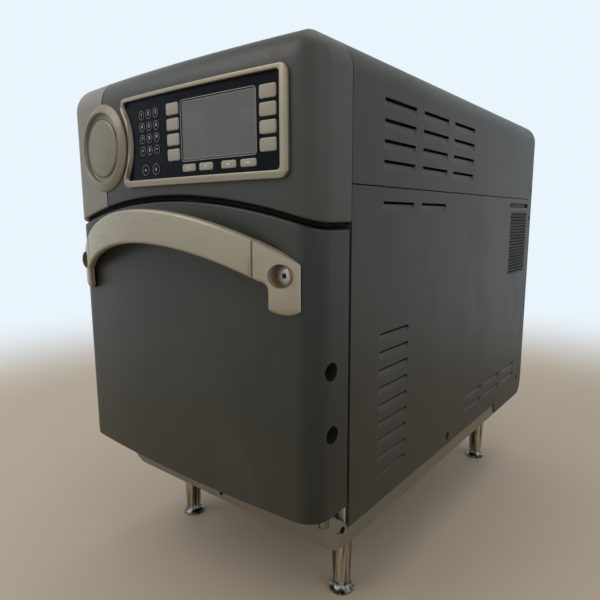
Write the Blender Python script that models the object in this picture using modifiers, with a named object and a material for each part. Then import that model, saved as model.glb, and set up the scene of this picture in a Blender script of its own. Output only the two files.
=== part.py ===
"""Countertop speed oven on four legs: a fast convection and microwave oven with a drop-down door.

Metres, +Z up. The front faces -Y, and the origin is the middle of the object's box, on the floor.
The bowed front, its corners and its domed top come from one plan outline, front_outline(), that the
door, the console, the bezel and the keypad share.
"""

import math

import bmesh
import bpy
from mathutils import Matrix, Vector

# Driving sizes of the whole oven
WIDTH = 0.406
SIDE_DEPTH = 0.634
TOP_Z = 0.6454
TOP_RADIUS = 0.033
FRONT_REACH = 0.0684
FRONT_BOW_RADIUS = 2.123
CORNER_RADIUS = 0.0263
LEAST_CORNER_RADIUS = 0.003
HANDLE_REACH = 0.108
CONSOLE_HEIGHT = 0.1452
COVER_HEIGHT = 0.1377
LEG_HEIGHT = 0.1236
BASE_HEIGHT = 0.0204
BASE_FRONT_REACH = 0.0207
BASE_CORNER_RADIUS = 0.015
DOOR_BASE_GAP = 0.0275
ARCH_RADIUS = 0.705
DOOR_TOP_GAP = 0.0063

# Sheet and clearance sizes
SHEET = 0.0015
DOOR_WALL = 0.0025
CONSOLE_WALL = 0.003
FIT_GAP = 0.0003
PANEL_GAP = 0.0006
DOOR_BACK_GAP = 0.0015
OVERRUN = 0.012
WELD = 0.00002
FLAT_ANGLE = math.radians(0.1)

# Where the oven's planes lie, from the sizes above
HALF_WIDTH = WIDTH / 2
BASE_BOTTOM_Z = LEG_HEIGHT
SIDE_BOTTOM_Z = BASE_BOTTOM_Z + BASE_HEIGHT
DOOR_BOTTOM_Z = SIDE_BOTTOM_Z + DOOR_BASE_GAP
ARCH_MID_Z = TOP_Z - CONSOLE_HEIGHT
CASE_SEAM_Z = TOP_Z - COVER_HEIGHT
SEAM_Y = HANDLE_REACH - (SIDE_DEPTH + HANDLE_REACH) / 2
REAR_Y = SEAM_Y + SIDE_DEPTH
FRONT_Y = SEAM_Y - FRONT_REACH
BOW_CENTRE_Y = FRONT_Y + FRONT_BOW_RADIUS
DOOR_BACK_Y = SEAM_Y - DOOR_BACK_GAP
CASE_FRONT_Y = SEAM_Y + PANEL_GAP
CONSOLE_BACK_Y = SEAM_Y - PANEL_GAP / 2
BASE_FRONT_Y = SEAM_Y - BASE_FRONT_REACH
BASE_TOP_Z = SIDE_BOTTOM_Z
SIDE_INNER_X = HALF_WIDTH - SHEET
TOP_ARC_Z = TOP_Z - TOP_RADIUS
ARCH_CENTRE_Z = ARCH_MID_Z - ARCH_RADIUS
FAR = 2 * SIDE_DEPTH

# Rear panel
REAR_FLANGE_DEPTH = 0.023
REAR_RECESS = 0.012
REAR_FLANGE_Y = REAR_Y - REAR_FLANGE_DEPTH
REAR_WEB_BACK_Y = REAR_Y - REAR_RECESS
REAR_WEB_FRONT_Y = REAR_WEB_BACK_Y - SHEET
REAR_LIP = 0.0178
REAR_BOTTOM_Z = SIDE_BOTTOM_Z - REAR_LIP
GLAND_MARGIN = 0.063
GLAND_RISE = 0.056
GLAND_X = HALF_WIDTH - GLAND_MARGIN
GLAND_Z = SIDE_BOTTOM_Z + GLAND_RISE
GLAND_RADIUS = 0.017
GLAND_BORE_RADIUS = 0.009
GLAND_LENGTH = 0.0105
REAR_SLOT_LENGTH = 0.11
REAR_SLOT_HEIGHT = 0.004
REAR_SLOT_PITCH = 0.014
REAR_SLOT_DROP = 0.1754
REAR_SLOT_LOW_Z = TOP_Z - REAR_SLOT_DROP
REAR_SLOT_COUNT = 8

# Side panel tongue and pressed openings
TONGUE_DROP = 0.0175
TONGUE_TOP_LENGTH = 0.16
TONGUE_LENGTH = 0.2
TONGUE_Z = SIDE_BOTTOM_Z - TONGUE_DROP
LOUVRE_LENGTH = 0.072
LOUVRE_HEIGHT = 0.0092
LOUVRE_DEPTH = 0.0068
LOUVRE_BLADE = 0.001
LOUVRE_LAP = 0.0022
LOUVRE_PITCH = 0.0206
COVER_LOUVRE_DEPTH = 0.0985
COVER_LOUVRE_SPACING = 0.0932
COVER_LOUVRE_COLUMNS = 3
SEAM_LOUVRE_COLUMNS = 2
COVER_LOUVRE_ROWS = 4
COVER_LOUVRE_TOP_DROP = 0.048
COVER_LOUVRE_PITCH = 0.0211
SEAM_LOUVRE_DROP = 0.0163
FRONT_LOUVRE_LENGTH = 0.064
FRONT_LOUVRE_DEPTH = 0.095
FRONT_LOUVRE_RISE = 0.0372
FRONT_LOUVRE_COUNT = 9
REAR_LOUVRE_LENGTH = 0.062
REAR_LOUVRE_MARGIN = 0.093
REAR_LOUVRE_SPACING = 0.0895
REAR_LOUVRE_COLUMNS = 3
REAR_LOUVRE_ROWS = 2
REAR_LOUVRE_RISE = 0.0354
GRILLE_MARGIN = 0.0765
GRILLE_LENGTH = 0.097
GRILLE_DROP = 0.1337
GRILLE_PITCH = 0.0124
GRILLE_SLOT_HEIGHT = 0.0062
GRILLE_COUNT = 9
BAND_MARGIN = 0.0755
BAND_LENGTH = 0.093
BAND_DROP = 0.0121
BAND_HEIGHT = 0.005

# Console, its round badge and the seam beside it
CAP_WIDTH = 0.0835
CAP_SEAM_X = CAP_WIDTH - HALF_WIDTH
CAP_SEAM_GAP = 0.0006
BADGE_DROP = 0.0844
BADGE_Z = TOP_Z - BADGE_DROP
BADGE_RADIUS = 0.0523
BADGE_CREST_RADIUS = 0.0445
BADGE_FLOOR_RADIUS = 0.042
BADGE_DISC_RADIUS = 0.035
BADGE_HEIGHT = 0.006
BADGE_RIM = 0.0016
BADGE_FLOOR = 0.0022
BADGE_DISC = 0.0036
BADGE_CREST_WIDTH = 0.0018
BADGE_POCKET = 0.0013
BADGE_SINK = 0.001

# Bezel and keypad
BEZEL_TOP_DROP = 0.0322
BEZEL_HEIGHT = 0.1022
BEZEL_SIDE_MARGIN = 0.0255
BEZEL_HIGH_Z = TOP_Z - BEZEL_TOP_DROP
BEZEL_LOW_Z = BEZEL_HIGH_Z - BEZEL_HEIGHT
BEZEL_RIGHT_X = HALF_WIDTH - BEZEL_SIDE_MARGIN
BEZEL_BAND = 0.008
BEZEL_RIGHT_BAND = 0.0118
BEZEL_PROUD = 0.0045
BEZEL_LEFT_RADIUS = 0.0602
BEZEL_CORNER_RADIUS = 0.009
BEZEL_INNER_CORNER_RADIUS = 0.004
BEZEL_LAP = 0.003
KEYPAD_THICKNESS = 0.0052
POCKET_DEPTH = 0.0034
KEY_PROUD = 0.0011
KEY_DEPTH = 0.0022
KEY_TRAVEL = 0.0008
KEY_EDGE = 0.0005

# Keypad layout: shares of the panel's width, from the hollow beside the badge to its right edge,
# and of the bezel's height from its top; a round key's radius is a share of the least key pitch
KEYPAD_LEFT_X = CAP_SEAM_X + BEZEL_LEFT_RADIUS + BEZEL_BAND
KEYPAD_SPAN = BEZEL_RIGHT_X - BEZEL_RIGHT_BAND - KEYPAD_LEFT_X
SOFT_KEY_WIDTH_SHARE = 0.0931
SOFT_KEY_HEIGHT_SHARE = 0.141
SOFT_KEY_LEFT_SHARE = 0.3268
SOFT_KEY_RIGHT_SHARE = 0.9327
SOFT_KEY_TOP_SHARE = 0.225
SOFT_KEY_PITCH_SHARE = 0.155
NAV_KEY_WIDTH_SHARE = 0.094
NAV_KEY_HEIGHT_SHARE = 0.095
NAV_KEY_DROP_SHARE = 0.836
NAV_KEY_SHARES = {"up": 0.4374, "down": 0.5558, "back": 0.7023, "enter": 0.8203}
NUMBER_KEY_LEFT_SHARE = 0.077
NUMBER_KEY_COLUMN_SHARE = 0.06
NUMBER_KEY_TOP_SHARE = 0.229
NUMBER_KEY_PITCH_SHARE = 0.1279
NUMBER_KEY_RADIUS_SHARE = 0.422
NUMBER_KEY_NAMES = ("1", "2", "3", "4", "5", "6", "7", "8", "9", "clear", "0", "set")
ROUND_KEY_RADIUS_SHARE = 0.517
ROUND_KEY_DROP_SHARE = 0.8185
ROUND_KEY_SHARES = {"menu": 0.093, "power": 0.182}
DISPLAY_LOW_SHARES = (0.3908, 0.7593)
DISPLAY_HIGH_SHARES = (0.8636, 0.1683)
DISPLAY_CORNER_RADIUS = 0.002
DISPLAY_RECESS = 0.0006
DISPLAY_THICKNESS = 0.0018

# Control board behind the keypad
BOARD_LEFT_MARGIN = 0.0063
BOARD_RIGHT_MARGIN = 0.0175
BOARD_EDGE_MARGIN = 0.011
BOARD_LEFT_X = KEYPAD_LEFT_X + BOARD_LEFT_MARGIN
BOARD_RIGHT_X = BEZEL_RIGHT_X - BOARD_RIGHT_MARGIN
BOARD_LOW_Z = BEZEL_LOW_Z + BOARD_EDGE_MARGIN
BOARD_HIGH_Z = BEZEL_HIGH_Z - BOARD_EDGE_MARGIN
BOARD_THICKNESS = 0.0016
BOARD_STANDOFF = 0.009
POST_RADIUS = 0.004
POST_INSET = 0.008
BOARD_CHIP_HEIGHT = 0.008
BOARD_CHIP_WIDTH = 0.03

# Door
HANDLE_BAR_MARGIN = 0.062
HANDLE_END_PROUD = 0.0022
HANDLE_THICKNESS = 0.008
HANDLE_EDGE = 0.0018
HANDLE_TOP_DROP = 0.0143
HANDLE_TOP_RADIUS = 0.355
HANDLE_HEIGHT = 0.0358
HANDLE_LOW_RADIUS = 0.345
HANDLE_END_MARGIN = 0.016
HANDLE_LEG_WIDTH = 0.028
HANDLE_LEG_DROP = 0.1157
HANDLE_LEG_CORNER = 0.006
HANDLE_BORE_MARGIN = 0.0168
HANDLE_BORE_DROP = 0.079
HANDLE_BORE_RADIUS = 0.0115
HANDLE_BORE_FLOOR = 0.0035
DOOR_SCREW_HOLES = ((0.033, 0.1545), (0.031, 0.0885))
DOOR_SCREW_HOLE_RADIUS = 0.0095
INNER_FRAME_SHEET = 0.002
PLUG_DEPTH = 0.006
PLUG_GAP = 0.0035
PLUG_CORNER_RADIUS = 0.012
GASKET_WIDTH = 0.014
GASKET_DEPTH = 0.0014

# Door hinge: two arms on the door's frame turn on two pins that stand on the base
HINGE_REACH = 0.025
HINGE_DROP = 0.0135
HINGE_Z = DOOR_BOTTOM_Z - HINGE_DROP
HINGE_PIN_RADIUS = 0.004
HINGE_BOSS_RADIUS = 0.009
HINGE_LUG_RADIUS = 0.008
HINGE_ARM_MARGIN = 0.019
HINGE_ARM_X = HALF_WIDTH - HINGE_ARM_MARGIN
HINGE_ARM_THICKNESS = 0.004
HINGE_LUG_THICKNESS = 0.003
HINGE_ARM_LENGTH = 0.104
HINGE_ARM_SHOULDER = 0.022
HINGE_ARM_FOOT = 0.042
HINGE_SLOT_GAP = 0.0015
HINGE_LUG_REACH = 0.019
WING_HEIGHT = 0.0234

# Cavity
CAVITY_SIDE_GAP = 0.0425
CAVITY_DEPTH = 0.267
CAVITY_BASE_GAP = 0.096
CAVITY_TOP_GAP = 0.0772
CAVITY_CORNER_RADIUS = 0.012
LINER_WALL = 0.002
CAVITY_HALF_WIDTH = SIDE_INNER_X - CAVITY_SIDE_GAP
CAVITY_LOW_Z = BASE_TOP_Z + CAVITY_BASE_GAP
CAVITY_HIGH_Z = ARCH_MID_Z - CAVITY_TOP_GAP
CAVITY_HEIGHT = CAVITY_HIGH_Z - CAVITY_LOW_Z
FLANGE_TOP_GAP = 0.0017
STAND_HALF_WIDTH = 0.1
STAND_DEPTH = 0.012
LEDGE_WIDTH = 0.007
LEDGE_THICKNESS = 0.003
LEDGE_HEIGHT_SHARE = 0.306
LEDGE_FRONT_DEPTH = 0.02
LEDGE_BACK_DEPTH = 0.25
RACK_THICKNESS = 0.004
RACK_RIM = 0.005
RACK_BAR = 0.003
RACK_OPENINGS = 12
JET_PLATE_DROP = 0.013
JET_PLATE_THICKNESS = 0.002
JET_PLATE_FRONT_DEPTH = 0.012
JET_SLOT_SHARE = 0.72
JET_SLOT_WIDTH = 0.006
JET_SLOTS = 7

# Blower behind the cavity, with its motor
SCROLL_RADIUS = 0.084
SCROLL_WALL = 0.004
SCROLL_LENGTH = 0.046
BLOWER_Z = (CAVITY_LOW_Z + CAVITY_HIGH_Z) / 2
BLOWER_RADIUS = 0.07
BLOWER_HUB_RADIUS = 0.016
BLOWER_DISC = 0.002
BLOWER_LENGTH = 0.03
BLOWER_FRONT_GAP = 0.006
BLOWER_BLADES = 12
BLOWER_BLADE_LENGTH = 0.026
BLOWER_BLADE_THICKNESS = 0.0025
SHAFT_RADIUS = 0.006
SHAFT_LENGTH = 0.075
MOTOR_RADIUS = 0.047
MOTOR_LENGTH = 0.08
MOTOR_FLANGE = 0.005
MOTOR_BORE_LENGTH = 0.066
BACK_INLET_RADIUS = 0.045

# Magnetron, transformer and cooling fan
MAGNETRON_X = -0.06
MAGNETRON_DEPTH = 0.13
MAGNETRON_WIDTH = 0.095
MAGNETRON_LENGTH = 0.08
MAGNETRON_HEIGHT = 0.09
MAGNETRON_FINS = 6
MAGNETRON_FIN_HEIGHT = 0.004
MAGNETRON_FIN_REACH = 0.012
TRANSFORMER_MARGIN = 0.028
TRANSFORMER_GAP = 0.086
TRANSFORMER_WIDTH = 0.11
TRANSFORMER_LENGTH = 0.09
TRANSFORMER_HEIGHT = 0.1
COIL_MARGIN = 0.018
COIL_LENGTH = 0.13
FAN_DROP = 0.2454
FAN_RADIUS = 0.055
FAN_HUB_RADIUS = 0.02
FAN_LENGTH = 0.018
FAN_GAP = 0.004
FAN_BLADES = 5
FAN_BLADE_THICKNESS = 0.002
FAN_BLADE_PITCH = math.radians(35)
FAN_PIN_RADIUS = 0.004

# Legs and adjustable feet
LEG_SIDE_MARGIN = 0.0572
LEG_FRONT_DEPTH = 0.0737
LEG_REAR_MARGIN = 0.078
LEG_TOP_RADIUS = 0.0125
LEG_LOW_RADIUS = 0.0105
LEG_LOW_Z = 0.0133
LEG_PLATE_RADIUS = 0.02
LEG_PLATE = 0.004
LEG_BORE_RADIUS = 0.0073
LEG_BORE_TOP_Z = 0.064
FOOT_RADIUS = 0.0162
FOOT_HEIGHT = 0.0075
FOOT_EDGE = 0.002
FOOT_NECK_RADIUS = 0.0092
FOOT_STEM_RADIUS = 0.007
FOOT_STEM_TOP_Z = 0.058

# Smoothness of the curved faces
BOW_STEPS = 12
CORNER_STEPS = 5
ARCH_STEPS = 14
DOME_STEPS = 5
ROUND_STEPS = 16
WHEEL_STEPS = 28
BADGE_STEPS = 40
ARC_STEPS = 4

# Finishes: colour, roughness, metallic
FINISHES = {
    "painted_panel": ((0.072, 0.071, 0.064, 1), 0.45, 0.0),
    "champagne_metal": ((0.32, 0.28, 0.2, 1), 0.35, 0.9),
    "stainless": ((0.55, 0.54, 0.51, 1), 0.32, 1.0),
    "polished_steel": ((0.62, 0.61, 0.58, 1), 0.18, 1.0),
    "keypad_film": ((0.012, 0.016, 0.026, 1), 0.4, 0.0),
    "key_plastic": ((0.34, 0.29, 0.22, 1), 0.45, 0.2),
    "display_glass": ((0.12, 0.12, 0.1, 1), 0.2, 0.0),
    "seal_rubber": ((0.02, 0.02, 0.02, 1), 0.75, 0.0),
    "galvanised": ((0.45, 0.46, 0.47, 1), 0.45, 0.9),
    "copper_coil": ((0.5, 0.2, 0.08, 1), 0.4, 0.9),
    "board_green": ((0.02, 0.12, 0.05, 1), 0.5, 0.0),
    "black_plastic": ((0.02, 0.02, 0.022, 1), 0.5, 0.0),
}


def clear_scene():
    for item in list(bpy.data.objects):
        bpy.data.objects.remove(item, do_unlink=True)


def make_collection(name):
    collection = bpy.data.collections.new(name)
    bpy.context.scene.collection.children.link(collection)
    return collection


def make_finishes():
    for name, (colour, roughness, metallic) in FINISHES.items():
        finish = bpy.data.materials.new(name)
        finish.use_nodes = True
        shader = finish.node_tree.nodes["Principled BSDF"]
        shader.inputs["Base Color"].default_value = colour
        shader.inputs["Roughness"].default_value = roughness
        shader.inputs["Metallic"].default_value = metallic


# Outlines: lists of (across, up) points

def arc(centre, radius, start, end, steps):
    """Points on an arc, the angles in radians."""
    angles = [start + (end - start) * i / steps for i in range(steps + 1)]
    return [(centre[0] + radius * math.cos(a), centre[1] + radius * math.sin(a)) for a in angles]


def rectangle(low, high):
    return [(low[0], low[1]), (high[0], low[1]), (high[0], high[1]), (low[0], high[1])]


def rounded_rectangle(low, high, radius, steps=ARC_STEPS):
    quarter = math.pi / 2
    return (
        arc((low[0] + radius, low[1] + radius), radius, 2 * quarter, 3 * quarter, steps)
        + arc((high[0] - radius, low[1] + radius), radius, 3 * quarter, 4 * quarter, steps)
        + arc((high[0] - radius, high[1] - radius), radius, 0, quarter, steps)
        + arc((low[0] + radius, high[1] - radius), radius, quarter, 2 * quarter, steps)
    )


def front_outline(inset, back_y):
    """Plan of the front, from its right back corner round to its left one, drawn in by inset."""
    half = HALF_WIDTH - inset
    bow = FRONT_BOW_RADIUS - inset
    corner = max(CORNER_RADIUS - inset, LEAST_CORNER_RADIUS)
    centre_x = half - corner
    centre_y = BOW_CENTRE_Y - math.sqrt((bow - corner) ** 2 - centre_x ** 2)
    turn = math.atan2(centre_y - BOW_CENTRE_Y, centre_x)
    right = [(half, back_y)] + arc((centre_x, centre_y), corner, 0, turn, CORNER_STEPS)
    left = [(-x, y) for x, y in reversed(right)]
    front = arc((0, BOW_CENTRE_Y), bow, turn, -math.pi - turn, BOW_STEPS)[1:-1]
    return right + front + left


def bow_y(x, inset=0):
    """Depth of the bowed front at x, on the straight faces between its steps' points."""
    outline = front_outline(inset, 0)
    for (x1, y1), (x2, y2) in zip(outline, outline[1:]):
        if x2 <= x <= x1 and x1 > x2:
            return y1 + (y2 - y1) * (x - x1) / (x2 - x1)
    return FRONT_Y


def arch_outline(radius, above):
    """Everything above, or below, an arch that runs across the front."""
    reach = HALF_WIDTH + OVERRUN
    end = math.asin(reach / radius)
    curve = arc((0, ARCH_CENTRE_Z), radius, math.pi / 2 + end, math.pi / 2 - end, ARCH_STEPS)
    level = TOP_Z + OVERRUN if above else DOOR_BOTTOM_Z
    return curve + [(reach, level), (-reach, level)]


def case_outline(inset, low_z):
    """Section across the case: straight sides and rounded top corners, drawn in by inset."""
    half = HALF_WIDTH - inset
    radius = TOP_RADIUS - inset
    centre_x = HALF_WIDTH - TOP_RADIUS
    right = [(half, low_z)] + arc((centre_x, TOP_ARC_Z), radius, 0, math.pi / 2, DOME_STEPS)
    return right + [(-x, z) for x, z in reversed(right)]


# Solids

def add_object(name, mesh, finish, place=None):
    """Puts a mesh in the scene: with a finish it is a part, without one a cutter."""
    item = bpy.data.objects.new(name, mesh)
    if finish:
        parts.objects.link(item)
        mesh.materials.clear()
        mesh.materials.append(bpy.data.materials[finish])
    else:
        cutters.objects.link(item)
        item.hide_render = True
        item.display_type = "WIRE"
    if place is not None:
        item.matrix_world = place
    return item


def mesh_from(shape, name):
    mesh = bpy.data.meshes.new(name)
    shape.to_mesh(mesh)
    shape.free()
    return mesh


def plane_place(plane, level):
    """Matrix that lays a flat XY curve in the plane XY, XZ or YZ at a level along its normal."""
    if plane == "XY":
        return Matrix.Translation((0, 0, level))
    if plane == "XZ":
        return Matrix.Translation((0, level, 0)) @ Matrix.Rotation(math.pi / 2, 4, "X")
    turned = Matrix.Rotation(math.pi / 2, 4, "Z") @ Matrix.Rotation(math.pi / 2, 4, "X")
    return Matrix.Translation((level, 0, 0)) @ turned


def extruded(name, outlines, plane, low, high, finish=None, place=None):
    """A flat outline, or several with the later ones as holes, with thickness from low to high."""
    drawing = bpy.data.curves.new(name, "CURVE")
    drawing.dimensions = "2D"
    drawing.fill_mode = "BOTH"
    drawing.extrude = (high - low) / 2
    for outline in outlines:
        spline = drawing.splines.new("POLY")
        spline.points.add(len(outline) - 1)
        for point, (across, up) in zip(spline.points, outline):
            point.co = (across, up, 0, 1)
        spline.use_cyclic_u = True
    drawn = bpy.data.objects.new(name, drawing)
    cutters.objects.link(drawn)
    bpy.context.view_layer.update()
    solid = bpy.data.meshes.new_from_object(drawn.evaluated_get(bpy.context.evaluated_depsgraph_get()))
    bpy.data.objects.remove(drawn)
    bpy.data.curves.remove(drawing)
    solid.name = name
    shape = bmesh.new()
    shape.from_mesh(solid)
    bmesh.ops.remove_doubles(shape, verts=shape.verts, dist=WELD)
    bmesh.ops.dissolve_limit(shape, angle_limit=FLAT_ANGLE, verts=shape.verts, edges=shape.edges)
    bmesh.ops.recalc_face_normals(shape, faces=shape.faces)
    shape.to_mesh(solid)
    shape.free()
    matrix = plane_place(plane, (low + high) / 2)
    return add_object(name, solid, finish, place @ matrix if place is not None else matrix)


def box(name, low, high, finish=None, place=None):
    shape = bmesh.new()
    bmesh.ops.create_cube(shape, size=1)
    size = [b - a for a, b in zip(low, high)]
    centre = Vector([(a + b) / 2 for a, b in zip(low, high)])
    bmesh.ops.scale(shape, vec=size, verts=shape.verts)
    matrix = Matrix.Translation(centre)
    return add_object(name, mesh_from(shape, name), finish, place @ matrix if place is not None else matrix)


def boxes(name, corners):
    """Several boxes in one cutter, each given by its lowest and highest corner."""
    shape = bmesh.new()
    for low, high in corners:
        made = bmesh.ops.create_cube(shape, size=1)["verts"]
        bmesh.ops.scale(shape, vec=[b - a for a, b in zip(low, high)], verts=made)
        bmesh.ops.translate(shape, vec=[(a + b) / 2 for a, b in zip(low, high)], verts=made)
    return add_object(name, mesh_from(shape, name), None)


def cylinder(name, start, end, radius, finish=None, steps=ROUND_STEPS):
    """A round bar between two points."""
    start = Vector(start)
    end = Vector(end)
    shape = bmesh.new()
    bmesh.ops.create_cone(
        shape, cap_ends=True, segments=steps, radius1=radius, radius2=radius, depth=(end - start).length
    )
    turn = (end - start).to_track_quat("Z", "Y").to_matrix().to_4x4()
    return add_object(name, mesh_from(shape, name), finish, Matrix.Translation((start + end) / 2) @ turn)


def turned(name, profile, place, finish=None, steps=ROUND_STEPS):
    """A profile of (radius, height) points, from the axis at the top, down its outer side, turned."""
    mesh = bpy.data.meshes.new(name)
    points = [(radius, 0, height) for radius, height in profile]
    mesh.from_pydata(points, [(i, i + 1) for i in range(len(points) - 1)], [])
    item = add_object(name, mesh, finish, place)
    screw = item.modifiers.new("turn", "SCREW")
    screw.axis = "Z"
    screw.angle = 2 * math.pi
    screw.steps = steps
    screw.render_steps = steps
    screw.use_merge_vertices = True
    screw.merge_threshold = WELD
    return item


def loft(name, rings, finish=None):
    """Closed solid through rings of (x, y, z) points, lowest first, with flat ends."""
    shape = bmesh.new()
    rows = [[shape.verts.new(point) for point in ring] for ring in rings]
    for lower, upper in zip(rows, rows[1:]):
        for i in range(len(lower)):
            j = (i + 1) % len(lower)
            shape.faces.new((lower[i], lower[j], upper[j], upper[i]))
    shape.faces.new(rows[0])
    shape.faces.new(rows[-1])
    bmesh.ops.recalc_face_normals(shape, faces=shape.faces)
    return add_object(name, mesh_from(shape, name), finish)


def combine(item, tool, operation="DIFFERENCE"):
    step = item.modifiers.new(operation.lower(), "BOOLEAN")
    step.operation = operation
    step.solver = "EXACT"
    step.object = tool
    return item


def soften(item, width, segments=1):
    """Rounded edges on a plain shape."""
    bevel = item.modifiers.new("rounded", "BEVEL")
    bevel.width = width
    bevel.segments = segments
    bevel.limit_method = "ANGLE"
    bevel.angle_limit = math.radians(40)
    return item


def bowed(name, outlines, front, back, finish=None):
    """A flat outline on the front's bow: a slab from front to back, both behind the bow's skin."""
    solid = extruded(name, outlines, "XZ", FRONT_Y - OVERRUN, SEAM_Y, finish)
    slab = front_outline(front, SEAM_Y)[CORNER_STEPS + 1:-CORNER_STEPS - 1]
    behind = front_outline(back, SEAM_Y)[CORNER_STEPS + 1:-CORNER_STEPS - 1]
    skin = extruded(f"{name}_bow", [slab + behind[::-1]], "XY", CASE_SEAM_Z - OVERRUN, TOP_Z)
    return combine(solid, skin, "INTERSECT")


# Bezel outline: square on the right, hollowed on the left round the badge

def bezel_outline(grow, corner):
    """The bezel's outer edge drawn in by -grow, with its left side struck round the badge."""
    low = BEZEL_LOW_Z - grow
    high = BEZEL_HIGH_Z + grow
    right = BEZEL_RIGHT_X + grow
    hollow = BEZEL_LEFT_RADIUS - grow
    reach = hollow + corner
    rise = high - corner - BADGE_Z
    drop = BADGE_Z - low - corner
    top_x = CAP_SEAM_X + math.sqrt(reach ** 2 - rise ** 2)
    low_x = CAP_SEAM_X + math.sqrt(reach ** 2 - drop ** 2)
    top_turn = math.atan2(rise, top_x - CAP_SEAM_X)
    low_turn = math.atan2(-drop, low_x - CAP_SEAM_X)
    quarter = math.pi / 2
    return (
        arc((right - corner, low + corner), corner, -quarter, 0, ARC_STEPS)
        + arc((right - corner, high - corner), corner, 0, quarter, ARC_STEPS)
        + arc((top_x, high - corner), corner, quarter, math.pi + top_turn, ARC_STEPS)
        + arc((CAP_SEAM_X, BADGE_Z), hollow, top_turn, low_turn, 2 * ARC_STEPS)[1:-1]
        + arc((low_x, low + corner), corner, math.pi + low_turn, 3 * quarter, ARC_STEPS)
    )


# Base, legs and feet

def base_outline(inset):
    half = SIDE_INNER_X - FIT_GAP - inset
    low = BASE_FRONT_Y + inset
    radius = BASE_CORNER_RADIUS - inset
    back = REAR_FLANGE_Y - PANEL_GAP - inset
    quarter = math.pi / 2
    return (
        [(-half, back)]
        + arc((-half + radius, low + radius), radius, 2 * quarter, 3 * quarter, ARC_STEPS)
        + arc((half - radius, low + radius), radius, 3 * quarter, 4 * quarter, ARC_STEPS)
        + [(half, back)]
    )


def lug_outline():
    """The hinge lug, seen from the side: it stands on the base and reaches forward round the pin."""
    pin = (SEAM_Y - HINGE_REACH, HINGE_Z)
    foot = BASE_TOP_Z - SHEET / 2
    front = SEAM_Y - HINGE_LUG_REACH
    nose = arc(pin, HINGE_LUG_RADIUS, math.pi / 2, 3 * math.pi / 2, ARC_STEPS * 2)
    back = SEAM_Y - PANEL_GAP
    return nose + [(front, HINGE_Z - HINGE_LUG_RADIUS), (front, foot), (back, foot),
                   (back, HINGE_Z + HINGE_LUG_RADIUS)]


def make_base():
    base = extruded("base_pan", [base_outline(0)], "XY", BASE_BOTTOM_Z, BASE_TOP_Z, "stainless")
    hollow = extruded(
        "base_hollow", [base_outline(SHEET)], "XY", BASE_BOTTOM_Z - OVERRUN, BASE_TOP_Z - SHEET
    )
    combine(base, hollow)
    wing_x = HINGE_ARM_X + HINGE_ARM_THICKNESS + HINGE_LUG_THICKNESS / 2
    wing_top = BASE_TOP_Z + WING_HEIGHT
    for side in (-1, 1):
        name = "left" if side < 0 else "right"
        outer = base_outline(FIT_GAP)
        inner = base_outline(SHEET + FIT_GAP)
        wing = extruded(f"wing_{name}", [outer, inner], "XY", BASE_TOP_Z - SHEET / 2, wing_top)
        far = sorted((side * wing_x, side * WIDTH))
        corner = box(
            f"wing_corner_{name}",
            (far[0], BASE_FRONT_Y - OVERRUN, BASE_BOTTOM_Z),
            (far[1], SEAM_Y - PANEL_GAP, TOP_Z),
        )
        combine(wing, corner, "INTERSECT")
        combine(base, wing, "UNION")
        lug_x = sorted(
            side * x for x in (
                HINGE_ARM_X + HINGE_ARM_THICKNESS + FIT_GAP,
                HINGE_ARM_X + HINGE_ARM_THICKNESS + FIT_GAP + HINGE_LUG_THICKNESS,
            )
        )
        lug = extruded(f"hinge_lug_{name}", [lug_outline()], "YZ", lug_x[0], lug_x[1])
        combine(base, lug, "UNION")
        pin = cylinder(
            f"hinge_pin_{name}",
            (side * (HINGE_ARM_X - HINGE_LUG_THICKNESS / 2), SEAM_Y - HINGE_REACH, HINGE_Z),
            (sum(lug_x) / 2, SEAM_Y - HINGE_REACH, HINGE_Z),
            HINGE_PIN_RADIUS,
        )
        combine(base, pin, "UNION")


def make_legs():
    top = BASE_TOP_Z - SHEET - FIT_GAP
    leg_profile = [
        (0, top), (LEG_PLATE_RADIUS, top), (LEG_PLATE_RADIUS, top - LEG_PLATE),
        (LEG_TOP_RADIUS, top - LEG_PLATE), (LEG_LOW_RADIUS, LEG_LOW_Z), (LEG_BORE_RADIUS, LEG_LOW_Z),
        (LEG_BORE_RADIUS, LEG_BORE_TOP_Z), (0, LEG_BORE_TOP_Z),
    ]
    foot_profile = [
        (0, FOOT_STEM_TOP_Z), (FOOT_STEM_RADIUS, FOOT_STEM_TOP_Z),
        (FOOT_STEM_RADIUS, LEG_LOW_Z - FIT_GAP), (FOOT_NECK_RADIUS, LEG_LOW_Z - FIT_GAP),
        (FOOT_NECK_RADIUS, FOOT_HEIGHT), (FOOT_RADIUS - FOOT_EDGE, FOOT_HEIGHT),
        (FOOT_RADIUS, FOOT_HEIGHT - FOOT_EDGE), (FOOT_RADIUS, FOOT_EDGE),
        (FOOT_RADIUS - FOOT_EDGE, 0), (0, 0),
    ]
    for depth, end in ((LEG_FRONT_DEPTH, "front"), (SIDE_DEPTH - LEG_REAR_MARGIN, "rear")):
        for side, name in ((-1, "left"), (1, "right")):
            place = Matrix.Translation((side * (HALF_WIDTH - LEG_SIDE_MARGIN), SEAM_Y + depth, 0))
            turned(f"leg_{end}_{name}", leg_profile, place, "polished_steel")
            turned(f"foot_{end}_{name}", foot_profile, place, "polished_steel")


# Case: side panels, top cover and rear panel

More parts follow.
